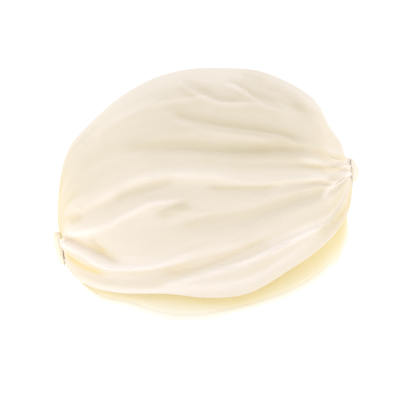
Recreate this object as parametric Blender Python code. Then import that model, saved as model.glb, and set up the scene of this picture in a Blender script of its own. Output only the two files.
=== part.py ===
"""Chemo turban: a gathered crown, a recessed hem band and a small cloth tab over each gather.

Metres. +X is the wearer's front, +Y the wearer's left, +Z up. The origin is the centre of the head
opening, level with the lowest point of the hem over the ears.
"""

import math

import bmesh
import bpy
import numpy as np
from mathutils import Vector

MM = 0.001

# Cloth and making sizes
CLOTH_THICK = 1.6 * MM
ROLL_RADIUS = 3.4 * MM
ROLL_RADIUS_GATHER = 2.0 * MM
ROLL_TURN = math.radians(112)
ROLL_STEPS = 3
SECTION_COUNT = 27
SECTION_FULLNESS = 0.92
LINE_MIN_GAP = 0.007
BAND_RECESS = 5.6 * MM
BAND_RECESS_GATHER = 3.4 * MM
BAND_THICK = 1.8 * MM
BAND_LEAN_FRONT = 6.5 * MM
BAND_LEAN_SIDE = 1.0 * MM
BAND_AROUND = 56
BAND_ROWS = 6
LEFT_LINE_SHIFT = 0.010
LEFT_HEIGHT_CHANGE = 0.22

# Cross-sections of the crown from the front gather (0) to the rear gather (1), in millimetres:
# the rolled lower edge and the top of the crown in side view, the half widths at the widest level
# and at the lower edge, and the share of the height at which the section is widest.
SECTION_COLUMNS = ("along", "edge_x", "edge_z", "top_x", "top_z", "half_width", "edge_width", "widest")
SECTIONS = (
    (0.000, 112.0, 105.8, 111.6, 122.3, 4.0, 3.6, 0.50),
    (0.144, 110.9, 88.9, 105.8, 126.2, 24.0, 20.0, 0.50),
    (0.225, 104.1, 74.3, 101.0, 138.6, 43.0, 38.0, 0.46),
    (0.260, 97.4, 65.2, 94.2, 148.0, 52.5, 47.0, 0.44),
    (0.295, 89.5, 57.7, 86.4, 163.5, 61.0, 55.0, 0.42),
    (0.369, 64.1, 38.9, 60.3, 182.8, 77.0, 71.0, 0.39),
    (0.436, 31.8, 18.9, 31.0, 192.0, 87.0, 80.5, 0.37),
    (0.500, 1.0, 14.2, -1.3, 192.8, 90.0, 83.5, 0.36),
    (0.564, -32.1, 19.2, -33.6, 187.4, 89.0, 82.0, 0.36),
    (0.631, -59.0, 20.4, -62.1, 173.5, 83.0, 75.5, 0.37),
    (0.705, -83.6, 23.9, -88.3, 151.6, 71.0, 63.0, 0.39),
    (0.775, -98.3, 30.4, -105.7, 131.4, 56.0, 48.0, 0.42),
    (0.856, -106.3, 37.4, -113.4, 101.2, 37.0, 31.0, 0.46),
    (0.922, -108.7, 40.4, -114.3, 77.3, 21.0, 17.0, 0.50),
    (1.000, -109.0, 42.3, -110.8, 62.3, 4.0, 3.6, 0.50),
)

# Where along the crown the two fold tables are measured
FOLD_STATIONS = (0.0, 0.158, 0.295, 0.403, 0.5, 0.597, 0.705, 0.83, 1.0)

# Lines of the folds from the lower edge to the top: their share of the section's height.
FOLD_LINES = (
    # name,            front, brow, temple, fore, mid, aft, back, nape, rear
    ("edge_hollow",     0.03, 0.10, 0.090, 0.070, 0.050, 0.012, 0.014, 0.02, 0.05),
    ("edge_ridge",      0.06, 0.36, 0.144, 0.137, 0.102, 0.024, 0.030, 0.05, 0.11),
    ("low_valley",      0.09, 0.42, 0.175, 0.183, 0.145, 0.076, 0.067, 0.13, 0.22),
    ("low_ridge",       0.11, 0.45, 0.210, 0.228, 0.206, 0.121, 0.136, 0.26, 0.60),
    ("nape_valley",     0.15, 0.50, 0.335, 0.290, 0.260, 0.230, 0.200, 0.34, 0.70),
    ("side_valley",     0.18, 0.53, 0.400, 0.351, 0.320, 0.350, 0.300, 0.37, 0.74),
    ("back_ridge",      0.21, 0.55, 0.430, 0.400, 0.390, 0.404, 0.351, 0.40, 0.78),
    ("main_valley",     0.24, 0.57, 0.458, 0.455, 0.500, 0.490, 0.460, 0.47, 0.81),
    ("main_ridge",      0.30, 0.61, 0.480, 0.500, 0.550, 0.570, 0.550, 0.56, 0.84),
    ("brow_valley",     0.56, 0.69, 0.552, 0.560, 0.590, 0.615, 0.620, 0.63, 0.87),
    ("brow_ridge",      0.70, 0.745, 0.595, 0.600, 0.615, 0.645, 0.670, 0.69, 0.89),
    ("upper_valley",    0.84, 0.80, 0.640, 0.632, 0.654, 0.675, 0.710, 0.74, 0.91),
    ("upper_ridge",     0.87, 0.84, 0.675, 0.694, 0.742, 0.750, 0.770, 0.79, 0.93),
    ("temple_valley",   0.90, 0.86, 0.705, 0.733, 0.774, 0.820, 0.830, 0.84, 0.95),
    ("crown_pleat",     0.93, 0.91, 0.880, 0.845, 0.870, 0.886, 0.912, 0.89, 0.965),
    ("crown_valley",    0.95, 0.94, 0.910, 0.868, 0.900, 0.925, 0.940, 0.93, 0.975),
    ("crown_ridge",     0.97, 0.965, 0.945, 0.955, 0.950, 0.960, 0.968, 0.96, 0.985),
)

# Height of the cloth on each of those lines, outward, in millimetres.
FOLD_HEIGHTS = (
    # name,            front, brow, temple, fore, mid, aft, back, nape, rear
    ("edge_hollow",     0.0, -0.6, -2.0, 0.4, 0.8, 0.0, 0.0, 0.0, 0.0),
    ("edge_ridge",      0.0, 0.8, 2.6, 2.4, 2.6, 0.8, 0.4, 0.0, 0.0),
    ("low_valley",      0.0, 0.0, 0.2, -1.4, -3.4, -3.2, -2.6, -1.6, 0.0),
    ("low_ridge",       0.0, 0.4, 0.4, 0.8, 2.4, 3.8, 4.6, 2.4, 0.0),
    ("nape_valley",     0.0, 0.6, 2.4, 0.4, 0.6, 0.2, -4.6, -2.8, 0.0),
    ("side_valley",     0.0, -0.6, -2.2, -2.4, -2.0, -1.4, 0.6, 0.2, 0.0),
    ("back_ridge",      0.0, 0.2, 0.2, 0.8, 1.0, 3.4, 4.2, 2.4, 0.0),
    ("main_valley",     0.0, -0.8, -1.6, -1.2, -1.2, -3.6, -1.8, -1.6, 0.0),
    ("main_ridge",      0.0, 2.0, 3.6, 3.8, 3.8, 4.4, 2.8, 1.2, 0.0),
    ("brow_valley",     0.0, -2.0, -3.0, 0.6, 0.6, 0.8, 0.6, 0.2, 0.0),
    ("brow_ridge",      0.0, 1.4, 1.8, 1.4, 1.0, 0.4, 0.2, 0.0, 0.0),
    ("upper_valley",    0.0, -2.0, -3.2, -2.8, -2.8, -1.6, -0.4, -0.4, 0.0),
    ("upper_ridge",     0.0, 0.6, 0.6, 1.6, 1.6, 0.2, 0.0, 0.2, 0.0),
    ("temple_valley",   0.0, 0.2, 0.2, -2.2, -2.4, 0.0, 0.0, 0.0, 0.0),
    ("crown_pleat",     0.0, 0.8, 1.0, 1.8, 2.4, 1.4, 1.0, 0.2, 0.0),
    ("crown_valley",    0.0, -0.6, -1.4, -1.4, -2.0, -0.4, -0.4, -0.4, 0.0),
    ("crown_ridge",     0.0, 0.4, 1.4, 1.4, 1.0, 0.4, 0.2, 0.0, 0.0),
)

# Steps of the mesh between one fold line and the next, from the lower edge to the top.
STEPS_BETWEEN_LINES = (2, 2, 2, 2, 3, 3, 2, 2, 2, 2, 2, 2, 2, 2, 3, 2, 2, 3)

# The hem band along the same course: its lower edge and how far it is tucked up inside the crown, mm.
BAND_ROWS_COLUMNS = ("along", "lower_z", "tuck")
BAND_EDGES = (
    (0.000, 58.6, 6.0),
    (0.144, 57.6, 9.0),
    (0.190, 53.0, 10.0),
    (0.225, 43.8, 11.0),
    (0.260, 39.4, 12.0),
    (0.295, 32.4, 12.0),
    (0.369, 18.2, 12.0),
    (0.436, 8.2, 12.0),
    (0.470, 4.4, 12.0),
    (0.500, 1.2, 12.0),
    (0.540, 0.0, 12.0),
    (0.580, 3.0, 12.0),
    (0.631, 9.2, 12.0),
    (0.705, 14.8, 12.0),
    (0.740, 19.8, 12.0),
    (0.775, 25.8, 12.0),
    (0.820, 32.4, 12.0),
    (0.856, 35.4, 11.0),
    (0.922, 39.2, 10.0),
    (1.000, 41.0, 8.0),
)

# The small cloth tabs over the gathers, from bottom to top, in millimetres: level, how far the
# outer and inner faces stand along X, and the half width.
TAB_COLUMNS = ("level", "outer_x", "inner_x", "half_width")
FRONT_TAB = (
    (104.8, 114.8, 113.6, 2.6),
    (106.4, 115.8, 113.5, 5.0),
    (109.5, 116.7, 113.4, 6.4),
    (113.5, 116.6, 113.2, 7.0),
    (117.5, 114.8, 113.0, 6.8),
    (121.4, 114.4, 112.8, 5.4),
    (123.6, 113.6, 112.7, 2.6),
)
REAR_TAB = (
    (40.6, -111.4, -110.4, 2.6),
    (42.6, -112.6, -110.5, 5.0),
    (46.5, -114.1, -110.8, 6.6),
    (52.0, -115.5, -111.5, 7.4),
    (57.5, -116.4, -112.5, 7.3),
    (63.6, -117.0, -113.9, 6.2),
    (66.6, -116.6, -115.0, 3.0),
)
TAB_STEM_HALF_WIDTH = 1.5 * MM
TAB_STEM_REACH = 4.5 * MM
TAB_STEM_SHARE = 0.5


def smooth_through(places, values, at):
    """Return the smooth curve through the given places and values, at one or more places."""
    places = np.asarray(places, float)
    values = np.asarray(values, float)
    slopes = np.gradient(values, places)
    steps = np.diff(values) / np.diff(places)
    for i in range(1, len(places) - 1):
        if steps[i - 1] * steps[i] <= 0.0:
            slopes[i] = 0.0
        else:
            limit = 3.0 * min(abs(steps[i - 1]), abs(steps[i]))
            slopes[i] = math.copysign(min(abs(slopes[i]), limit), steps[i])
    at = np.asarray(at, float)
    i = np.clip(np.searchsorted(places, at) - 1, 0, len(places) - 2)
    span = places[i + 1] - places[i]
    t = (at - places[i]) / span
    return (
        values[i] * (1 + 2 * t) * (1 - t) ** 2
        + values[i + 1] * t * t * (3 - 2 * t)
        + slopes[i] * span * t * (1 - t) ** 2
        - slopes[i + 1] * span * t * t * (1 - t)
    )


def between(start, end, share):
    """Return the value at a share of the way from start to end."""
    return start + (end - start) * share


def column(rows, names, name):
    """Return one named column of a table of sizes."""
    return [row[names.index(name)] for row in rows]


class CrownForm:
    """The crown without its folds: a fan of cross-sections hung between two side-view curves."""

    def __init__(self):
        self.along = column(SECTIONS, SECTION_COLUMNS, "along")

    def size(self, name, u):
        """Return a column of the section table at the place u along the crown."""
        return float(smooth_through(self.along, column(SECTIONS, SECTION_COLUMNS, name), u))

    def roll_radius(self, u):
        """Return the radius of the rolled lower edge, smaller towards the gathers."""
        return between(ROLL_RADIUS_GATHER, ROLL_RADIUS, math.sin(math.pi * u) ** 1.5)

    def section(self, u):
        """Return edge point, top point, half widths and widest share of the section at u."""
        edge = np.array([self.size("edge_x", u), 0.0, self.size("edge_z", u)]) * MM
        top = np.array([self.size("top_x", u), 0.0, self.size("top_z", u)]) * MM
        widths = self.size("half_width", u) * MM, self.size("edge_width", u) * MM
        return edge, top, widths, self.size("widest", u)

    def angle(self, u, share):
        """Return the section angle that lies at a share of the height, -beta at the lower edge."""
        widths, widest = self.section(u)[2:]
        beta = math.acos(min(widths[1] / widths[0], 1.0) ** (1 / SECTION_FULLNESS))
        if share >= widest:
            sine = ((share - widest) / (1 - widest)) ** (1 / SECTION_FULLNESS)
            return math.asin(min(sine, 1.0))
        return -beta * math.asin(min((widest - share) / widest, 1.0)) / (math.pi / 2)

    def point(self, u, angle, side):
        """Return the point of the plain form; side is 1 for the wearer's left, -1 for the right."""
        edge, top, widths, widest = self.section(u)
        beta = math.acos(min(widths[1] / widths[0], 1.0) ** (1 / SECTION_FULLNESS))
        roll = self.roll_radius(u) / np.linalg.norm(top - edge)
        if angle >= 0.0:
            share = widest + (1 - widest) * math.sin(angle) ** SECTION_FULLNESS
        else:
            low = math.sin(-angle / beta * math.pi / 2)
            share = widest - (widest - roll) * low
        width = widths[0] * max(math.cos(angle), 0.0) ** SECTION_FULLNESS
        return edge + (top - edge) * share + np.array([0.0, side * width, 0.0])


def fold_profile(u, side):
    """Return the shares and heights of the fold lines at u, from the lower edge to the top."""
    shares = [0.0]
    heights = [0.0]
    for number, (line, height) in enumerate(zip(FOLD_LINES, FOLD_HEIGHTS)):
        share = float(smooth_through(FOLD_STATIONS, line[1:], u))
        rise = float(smooth_through(FOLD_STATIONS, height[1:], u))
        if side > 0:
            fade = math.sin(math.pi * u) * math.sin(math.pi * share)
            share += LEFT_LINE_SHIFT * math.sin(5.0 * u + 1.9 * number) * fade
            rise *= 1 + LEFT_HEIGHT_CHANGE * math.sin(2.3 * number + 1.0)
        shares.append(max(share, shares[-1] + LINE_MIN_GAP))
        heights.append(rise)
    over = max(0.0, shares[-1] - (1 - LINE_MIN_GAP))
    shares = [share - over * share for share in shares]
    return shares + [1.0], heights + [0.0]


def eased(start, end, t):
    """Return a height between two fold lines: ridges are round and valleys are creased."""
    if start == end:
        return start
    round_start = start > end
    p = 1.7
    blend = t**p if round_start else 1 - (1 - t) ** p
    soft = t * t * (3 - 2 * t)
    return start + (end - start) * (0.6 * blend + 0.4 * soft)


def half_section(form, u, side):
    """Return the angles and heights across one half of the section at u."""
    shares, heights = fold_profile(u, side)
    angles = [form.angle(u, share) for share in shares]
    places = [(angles[0], heights[0])]
    for k, steps in enumerate(STEPS_BETWEEN_LINES):
        for step in range(1, steps + 1):
            t = step / steps
            angle = angles[k] + (angles[k + 1] - angles[k]) * t
            places.append((angle, eased(heights[k], heights[k + 1], t) * MM))
    return places


def form_normal(form, u, angle, side):
    """Return the outward direction of the plain form."""
    du, da = 0.004, 0.02
    lower, upper = max(u - du, 0.0), min(u + du, 1.0)
    beta_angle = form.angle(u, 0.0)
    low, high = max(angle - da, beta_angle), min(angle + da, math.pi / 2)
    along = form.point(upper, angle, side) - form.point(lower, angle, side)
    across = form.point(u, high, side) - form.point(u, low, side)
    if angle > math.pi / 2 - da:
        across = np.array([0.0, -side * 1.0, 0.0])
    normal = np.cross(along, across) * side
    return normal / np.linalg.norm(normal)


def rolled_edge(form, u, side, angle):
    """Return outer and inner points round the rolled lower edge, from the crown to its free end."""
    radius = form.roll_radius(u)
    start = form.point(u, angle, side)
    normal = form_normal(form, u, angle, side)
    up = form.point(u, angle + 0.05, side) - start
    up -= normal * np.dot(up, normal)
    down = -up / np.linalg.norm(up)
    centre = start - normal * radius
    pairs = []
    for step in range(1, ROLL_STEPS + 1):
        turn = ROLL_TURN * step / ROLL_STEPS
        ray = normal * math.cos(turn) + down * math.sin(turn)
        pairs.append((centre + ray * radius, centre + ray * (radius - CLOTH_THICK)))
    return pairs


def crown_row(form, u):
    """Return outer and inner points across the whole section, left edge over the top to the right."""
    row = []
    for side in (1, -1):
        half = half_section(form, u, side)
        pairs = list(reversed(rolled_edge(form, u, side, half[0][0])))
        for angle, height in half:
            normal = form_normal(form, u, angle, side)
            point = form.point(u, angle, side)
            pairs.append((point + normal * height, point + normal * (height - CLOTH_THICK)))
        row.append(pairs)
    return row[0] + list(reversed(row[1][:-1]))


def sheet_solid(name, rows, closed=False):
    """Build a sheet with thickness from rows of outer and inner points.

    An open sheet is rimmed on all four sides, a closed one joins its last row to the first.
    """
    mesh = bmesh.new()
    outer = [[mesh.verts.new(pair[0]) for pair in row] for row in rows]
    inner = [[mesh.verts.new(pair[1]) for pair in row] for row in rows]
    count, width = len(rows), len(rows[0])
    last = count if closed else count - 1
    for i in range(last):
        n = (i + 1) % count
        for j in range(width - 1):
            mesh.faces.new((outer[i][j], outer[n][j], outer[n][j + 1], outer[i][j + 1]))
            mesh.faces.new((inner[i][j], inner[i][j + 1], inner[n][j + 1], inner[n][j]))
        mesh.faces.new((outer[i][0], inner[i][0], inner[n][0], outer[n][0]))
        mesh.faces.new((outer[i][-1], outer[n][-1], inner[n][-1], inner[i][-1]))
    if not closed:
        for j in range(width - 1):
            mesh.faces.new((outer[0][j], outer[0][j + 1], inner[0][j + 1], inner[0][j]))
            mesh.faces.new((outer[-1][j], inner[-1][j], inner[-1][j + 1], outer[-1][j + 1]))
    return finish_object(name, mesh)


def finish_object(name, mesh):
    """Turn the faces outward and make a smooth-shaded object of the mesh."""
    bmesh.ops.recalc_face_normals(mesh, faces=mesh.faces)
    for face in mesh.faces:
        face.smooth = True
    data = bpy.data.meshes.new(name)
    mesh.to_mesh(data)
    mesh.free()
    thing = bpy.data.objects.new(name, data)
    bpy.context.scene.collection.objects.link(thing)
    return thing


def cloth_material(name, colour, roughness):
    """Return a plain cloth material."""
    material = bpy.data.materials.new(name)
    material.use_nodes = True
    shader = material.node_tree.nodes["Principled BSDF"]
    shader.inputs["Base Color"].default_value = (*colour, 1.0)
    shader.inputs["Roughness"].default_value = roughness
    shader.inputs["Metallic"].default_value = 0.0
    return material


def build_crown(form):
    """Build the gathered crown with its folds and rolled lower edges."""
    rows = [crown_row(form, i / (SECTION_COUNT - 1)) for i in range(SECTION_COUNT)]
    return sheet_solid("crown_drape", rows)


def band_size(name, u):
    """Return a column of the band table at the place u."""
    rows = BAND_EDGES
    places = column(rows, BAND_ROWS_COLUMNS, "along")
    return float(smooth_through(places, column(rows, BAND_ROWS_COLUMNS, name), u))


def band_plan(form, turn):
    """Return place u, plan point and outward plan direction of the band at a turn from the front."""
    side = 1.0 if turn <= math.pi else -1.0
    u = turn / math.pi if side > 0 else 2.0 - turn / math.pi

    def plan(place):
        width = smooth_through(form.along, column(SECTIONS, SECTION_COLUMNS, "edge_width"), place)
        fade = 1 - math.sin(math.pi * place)
        end_width = column(SECTIONS, SECTION_COLUMNS, "edge_width")[0]
        return np.array([form.size("edge_x", place), float(width) - end_width * fade, 0.0]) * MM

    step = 0.01
    ahead, behind = plan(min(u + step, 1.0)), plan(max(u - step, 0.0))
    along = ahead - behind
    if u in (0.0, 1.0):
        along = np.array([0.0, 1.0 - 2.0 * u, 0.0])
    outward = np.array([along[1], -along[0], 0.0])
    outward /= np.linalg.norm(outward)
    mirror = np.array([1.0, side, 1.0])
    return u, plan(u) * mirror, outward * mirror


def build_band(form):
    """Build the recessed hem band, a closed loop tucked up inside the crown's rolled edge."""
    rows = []
    for i in range(BAND_AROUND):
        u, place, outward = band_plan(form, 2 * math.pi * i / BAND_AROUND)
        low = band_size("lower_z", u) * MM
        high = (form.size("edge_z", u) + band_size("tuck", u)) * MM
        front = max(math.cos(math.pi * u), 0.0) ** 2
        lean = between(BAND_LEAN_SIDE, BAND_LEAN_FRONT, front)
        recess = between(BAND_RECESS_GATHER, BAND_RECESS, math.sin(math.pi * u) ** 1.5)
        row = []
        for step in range(BAND_ROWS + 1):
            t = step / BAND_ROWS
            point = place - outward * (recess + lean * t * t)
            point[2] = between(low, high, t)
            row.append((point, point - outward * BAND_THICK))
        rows.append(row)
    return sheet_solid("hem_band", rows, closed=True)


def build_tab(name, rows, facing):
    """Build a small rounded cloth tab with a stem that goes in through the gather's slot."""
    rings = []
    middle = len(rows) // 2
    for number, (level, outer, inner, half) in enumerate(rows):
        near = 1 - abs(number - middle) / middle
        reach = TAB_STEM_REACH if near > 1 - TAB_STEM_SHARE else 0.0
        stem = min(TAB_STEM_HALF_WIDTH, half * MM * 0.6)
        out_x, in_x, wide = outer * MM, inner * MM, half * MM
        swell = (out_x - in_x) * 0.3
        ring = (
            (in_x - facing * reach, -stem),
            (in_x, -stem),
            (in_x, -wide * 0.85),
            (in_x + swell, -wide),
            (out_x - swell, -wide * 0.9),
            (out_x, -wide * 0.45),
            (out_x, wide * 0.45),
            (out_x - swell, wide * 0.9),
            (in_x + swell, wide),
            (in_x, wide * 0.85),
            (in_x, stem),
            (in_x - facing * reach, stem),
        )
        rings.append([Vector((x, y, level * MM)) for x, y in ring])
    mesh = bmesh.new()
    verts = [[mesh.verts.new(point) for point in ring] for ring in rings]
    size = len(verts[0])
    for lower, upper in zip(verts[:-1], verts[1:]):
        for j in range(size):
            n = (j + 1) % size
            mesh.faces.new((lower[j], lower[n], upper[n], upper[j]))
    mesh.faces.new(verts[0])
    mesh.faces.new(verts[-1])
    return finish_object(name, mesh)


def main():
    """Build the four pieces and give each its cloth."""
    for thing in list(bpy.data.objects):
        bpy.data.objects.remove(thing, do_unlink=True)
    form = CrownForm()
    crown = build_crown(form)
    band = build_band(form)
    front = build_tab("front_tab", FRONT_TAB, 1)
    rear = build_tab("rear_tab", REAR_TAB, -1)
    crown.data.materials.append(cloth_material("crown_jersey", (0.86, 0.80, 0.66), 0.9))
    band.data.materials.append(cloth_material("band_jersey", (0.84, 0.77, 0.60), 0.9))
    front.data.materials.append(cloth_material("front_tab_jersey", (0.85, 0.78, 0.63), 0.9))
    rear.data.materials.append(cloth_material("rear_tab_jersey", (0.85, 0.78, 0.62), 0.9))


main()
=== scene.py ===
"""Chemo turban in ivory cotton jersey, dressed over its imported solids.

The crown is one gathered panel of jersey, the band a recessed double hem, and a small folded tab
closes the gather at the front and at the back. Lengths are metres unless a name says millimetres.
"""

import logging
import math
from dataclasses import dataclass, field
from enum import Enum

import bpy
import numpy as np
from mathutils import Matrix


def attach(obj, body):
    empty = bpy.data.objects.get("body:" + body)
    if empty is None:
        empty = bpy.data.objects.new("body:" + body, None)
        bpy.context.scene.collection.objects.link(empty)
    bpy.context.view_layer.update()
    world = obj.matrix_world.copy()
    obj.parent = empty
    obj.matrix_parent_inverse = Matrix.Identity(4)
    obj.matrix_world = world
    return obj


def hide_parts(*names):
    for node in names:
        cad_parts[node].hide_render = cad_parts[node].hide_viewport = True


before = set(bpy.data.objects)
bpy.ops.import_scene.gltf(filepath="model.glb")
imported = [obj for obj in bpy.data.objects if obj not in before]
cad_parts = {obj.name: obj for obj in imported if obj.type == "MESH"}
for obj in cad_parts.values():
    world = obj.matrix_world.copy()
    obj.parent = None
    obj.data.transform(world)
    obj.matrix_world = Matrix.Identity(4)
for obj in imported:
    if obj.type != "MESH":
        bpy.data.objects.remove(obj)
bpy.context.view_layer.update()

LOG = logging.getLogger("turban")
MM = 0.001


class Side(Enum):
    """The two halves of the wrap."""

    LEFT = 1
    RIGHT = -1


class Grain(Enum):
    """Which way a piece was cut: the flat axes that its wales and courses repeat on."""

    LENGTHWISE = ("Y", "X")
    CROSSWISE = ("X", "Y")


@dataclass(frozen=True)
class Section:
    """One cross-section of the crown between the gathers, in millimetres."""

    along: float
    edge_x: float
    edge_z: float
    top_x: float
    top_z: float
    half_width: float
    edge_width: float
    widest: float


@dataclass(frozen=True)
class FoldLine:
    """A fold from gather to gather: its share of the section's height and its height in mm.

    The shades paint highlight (above 0) or shade on the cloth along it, at SHADE_STATIONS.
    """

    name: str
    shares: tuple[float, ...]
    heights: tuple[float, ...]
    shades: tuple[float, ...]


@dataclass(frozen=True)
class FoldPath:
    """A shorter fold laid over the long ones, along a path in the side view.

    The path runs from the rear to the front through (x, z) places in millimetres. The height is
    negative for a hollow, and the two widths say how far it reaches below and above the path.
    The shades paint highlight (above 0) or shade on the cloth below the path, on it and above it.
    """

    name: str
    height: float
    below: float
    above: float
    path: tuple[tuple[float, float], ...]
    shades: tuple[float, float, float]


SECTIONS = (
    Section(0.000, 112.0, 105.8, 111.6, 122.3, 4.0, 3.6, 0.50),
    Section(0.144, 110.9, 88.9, 105.8, 126.2, 24.0, 20.0, 0.50),
    Section(0.225, 104.1, 71.9, 101.0, 138.6, 43.0, 38.0, 0.46),
    Section(0.260, 97.4, 62.4, 94.2, 148.0, 52.5, 47.0, 0.44),
    Section(0.295, 89.5, 54.6, 86.4, 163.5, 61.0, 55.0, 0.42),
    Section(0.369, 64.1, 36.2, 60.3, 182.8, 77.0, 71.0, 0.39),
    Section(0.436, 31.8, 17.9, 31.0, 192.0, 87.0, 80.5, 0.37),
    Section(0.500, 1.0, 14.2, -1.3, 192.8, 90.0, 83.5, 0.36),
    Section(0.564, -32.1, 17.2, -33.6, 187.4, 89.0, 82.0, 0.36),
    Section(0.631, -59.0, 17.4, -62.1, 173.5, 83.0, 75.5, 0.37),
    Section(0.705, -83.6, 21.2, -88.3, 151.6, 71.0, 63.0, 0.39),
    Section(0.775, -98.3, 28.4, -105.7, 131.4, 56.0, 48.0, 0.42),
    Section(0.856, -105.9, 36.6, -113.4, 101.2, 37.0, 31.0, 0.46),
    Section(0.922, -107.5, 40.4, -114.3, 77.3, 21.0, 17.0, 0.50),
    Section(1.000, -109.0, 42.3, -110.8, 62.3, 4.0, 3.6, 0.50),
)

FRONT_GATHER = (0.1125, 0.0, 0.114)
REAR_GATHER = (-0.1110, 0.0, 0.052)
FOLD_STATIONS = (0.0, 0.158, 0.295, 0.403, 0.5, 0.597, 0.705, 0.83, 1.0)
SHADE_STATIONS = (0.0, 0.16, 0.38, 0.62, 0.84, 1.0)
SHADE_WIDTH_MM = 3.0
SHADE_STEP_MM = 3.4
SHADE_LINE_MM = 1.7
PATH_SHARPNESS = 1.8
PATH_FADE_MM = 12.0
PATH_FADE_SHARE = 0.3
LEFT_MOVE_X_MM = 5
LEFT_MOVE_Z_MM = 3
LEFT_STRENGTH = (0.55, 1.0)
EASE_POWER = 1.7
EASE_SHARE = 0.35

FOLDS = (
    FoldLine("edge_hollow", (0.03, 0.10, 0.090, 0.070, 0.052, 0.014, 0.020, 0.02, 0.05),
             (0.0, -0.4, -1.4, 0.3, 0.6, 0.0, 0.0, 0.0, 0.0),
             (-0.22, 0.22, 0.20, -0.07)),
    FoldLine("edge_ridge", (0.06, 0.36, 0.149, 0.150, 0.116, 0.036, 0.040, 0.05, 0.11),
             (0.0, 0.6, 1.4, 1.3, 1.4, 0.6, 0.3, 0.0, 0.0),
             (-0.12, 0.14, -0.21, -0.19)),
    FoldLine("low_valley", (0.09, 0.42, 0.182, 0.200, 0.155, 0.088, 0.080, 0.13, 0.22),
             (0.0, 0.0, 0.1, -0.9, -2.0, -1.9, -1.6, -1.2, 0.0),
             (0.35, 0.21, 0.20, -0.29)),
    FoldLine("low_ridge", (0.11, 0.45, 0.225, 0.245, 0.206, 0.130, 0.158, 0.275, 0.60),
             (0.0, 0.3, 0.3, 0.6, 1.7, 2.4, 3.0, 1.7, 0.0),
             (-0.16, 0.03, 0.07, -0.35)),
    FoldLine("nape_valley", (0.15, 0.50, 0.335, 0.295, 0.262, 0.168, 0.215, 0.35, 0.70),
             (0.0, 0.4, 1.4, 0.7, 1.0, 1.3, -2.9, -1.9, 0.0),
             (-0.11, -0.09, 0.12, 0.35)),
    FoldLine("side_valley", (0.18, 0.53, 0.400, 0.345, 0.320, 0.340, 0.300, 0.37, 0.74),
             (0.0, -0.4, -1.6, -1.3, -1.0, -0.4, 0.4, 0.1, 0.0),
             (0.10, 0.00, 0.07, -0.16)),
    FoldLine("back_ridge", (0.21, 0.55, 0.430, 0.404, 0.386, 0.408, 0.346, 0.40, 0.78),
             (0.0, 0.1, 0.1, 0.6, 0.7, 2.2, 2.7, 1.7, 0.0),
             (0.15, -0.05, -0.13, 0.09)),
    FoldLine("main_valley", (0.24, 0.57, 0.454, 0.449, 0.487, 0.494, 0.470, 0.47, 0.81),
             (0.0, -0.6, -1.2, -1.0, -0.9, -2.2, -1.2, -0.6, 0.0),
             (0.35, 0.13, 0.07, 0.01)),
    FoldLine("main_ridge", (0.30, 0.61, 0.476, 0.482, 0.532, 0.540, 0.515, 0.54, 0.84),
             (0.0, 1.4, 2.6, 2.7, 2.7, 3.2, 2.0, 0.9, 0.0),
             (-0.26, -0.07, 0.10, -0.29)),
    FoldLine("brow_valley", (0.56, 0.69, 0.552, 0.560, 0.590, 0.612, 0.615, 0.63, 0.87),
             (0.0, -1.4, -2.2, 0.4, 0.3, 0.4, 0.4, 0.1, 0.0),
             (0.35, -0.21, 0.06, -0.11)),
    FoldLine("brow_ridge", (0.70, 0.745, 0.595, 0.600, 0.618, 0.645, 0.670, 0.69, 0.89),
             (0.0, 1.0, 1.3, 1.0, 0.6, 0.3, 0.1, 0.0, 0.0),
             (-0.35, -0.34, 0.00, 0.04)),
    FoldLine("upper_valley", (0.84, 0.80, 0.640, 0.634, 0.650, 0.672, 0.710, 0.74, 0.91),
             (0.0, -1.4, -2.3, -2.0, -1.9, -1.0, -0.1, -0.1, 0.0),
             (0.35, -0.09, 0.12, -0.04)),
    FoldLine("upper_ridge", (0.87, 0.84, 0.675, 0.690, 0.725, 0.740, 0.770, 0.79, 0.93),
             (0.0, 0.4, 0.6, 1.3, 1.3, 0.3, 0.0, 0.1, 0.0),
             (-0.35, -0.24, -0.07, 0.05)),
    FoldLine("temple_valley", (0.90, 0.86, 0.705, 0.724, 0.766, 0.830, 0.840, 0.84, 0.95),
             (0.0, 0.1, 0.1, -1.4, -1.6, 0.0, 0.0, 0.0, 0.0),
             (-0.11, -0.08, 0.07, -0.05)),
    FoldLine("crown_pleat", (0.93, 0.91, 0.870, 0.835, 0.862, 0.876, 0.880, 0.88, 0.965),
             (0.0, 0.6, 0.6, 0.9, 1.2, 0.6, 0.4, 0.1, 0.0),
             (-0.06, -0.02, 0.01, -0.24)),
    FoldLine("crown_valley", (0.95, 0.94, 0.910, 0.880, 0.905, 0.925, 0.935, 0.93, 0.975),
             (0.0, -0.4, -0.6, -0.4, -0.4, -0.1, -0.1, -0.1, 0.0),
             (0.05, -0.14, -0.04, -0.29)),
    FoldLine("crown_ridge", (0.97, 0.965, 0.945, 0.955, 0.950, 0.960, 0.968, 0.96, 0.985),
             (0.0, 0.3, 0.6, 0.4, 0.3, 0.1, 0.1, 0.0, 0.0),
             (-0.07, 0.01, -0.02, -0.11)),
)

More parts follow.
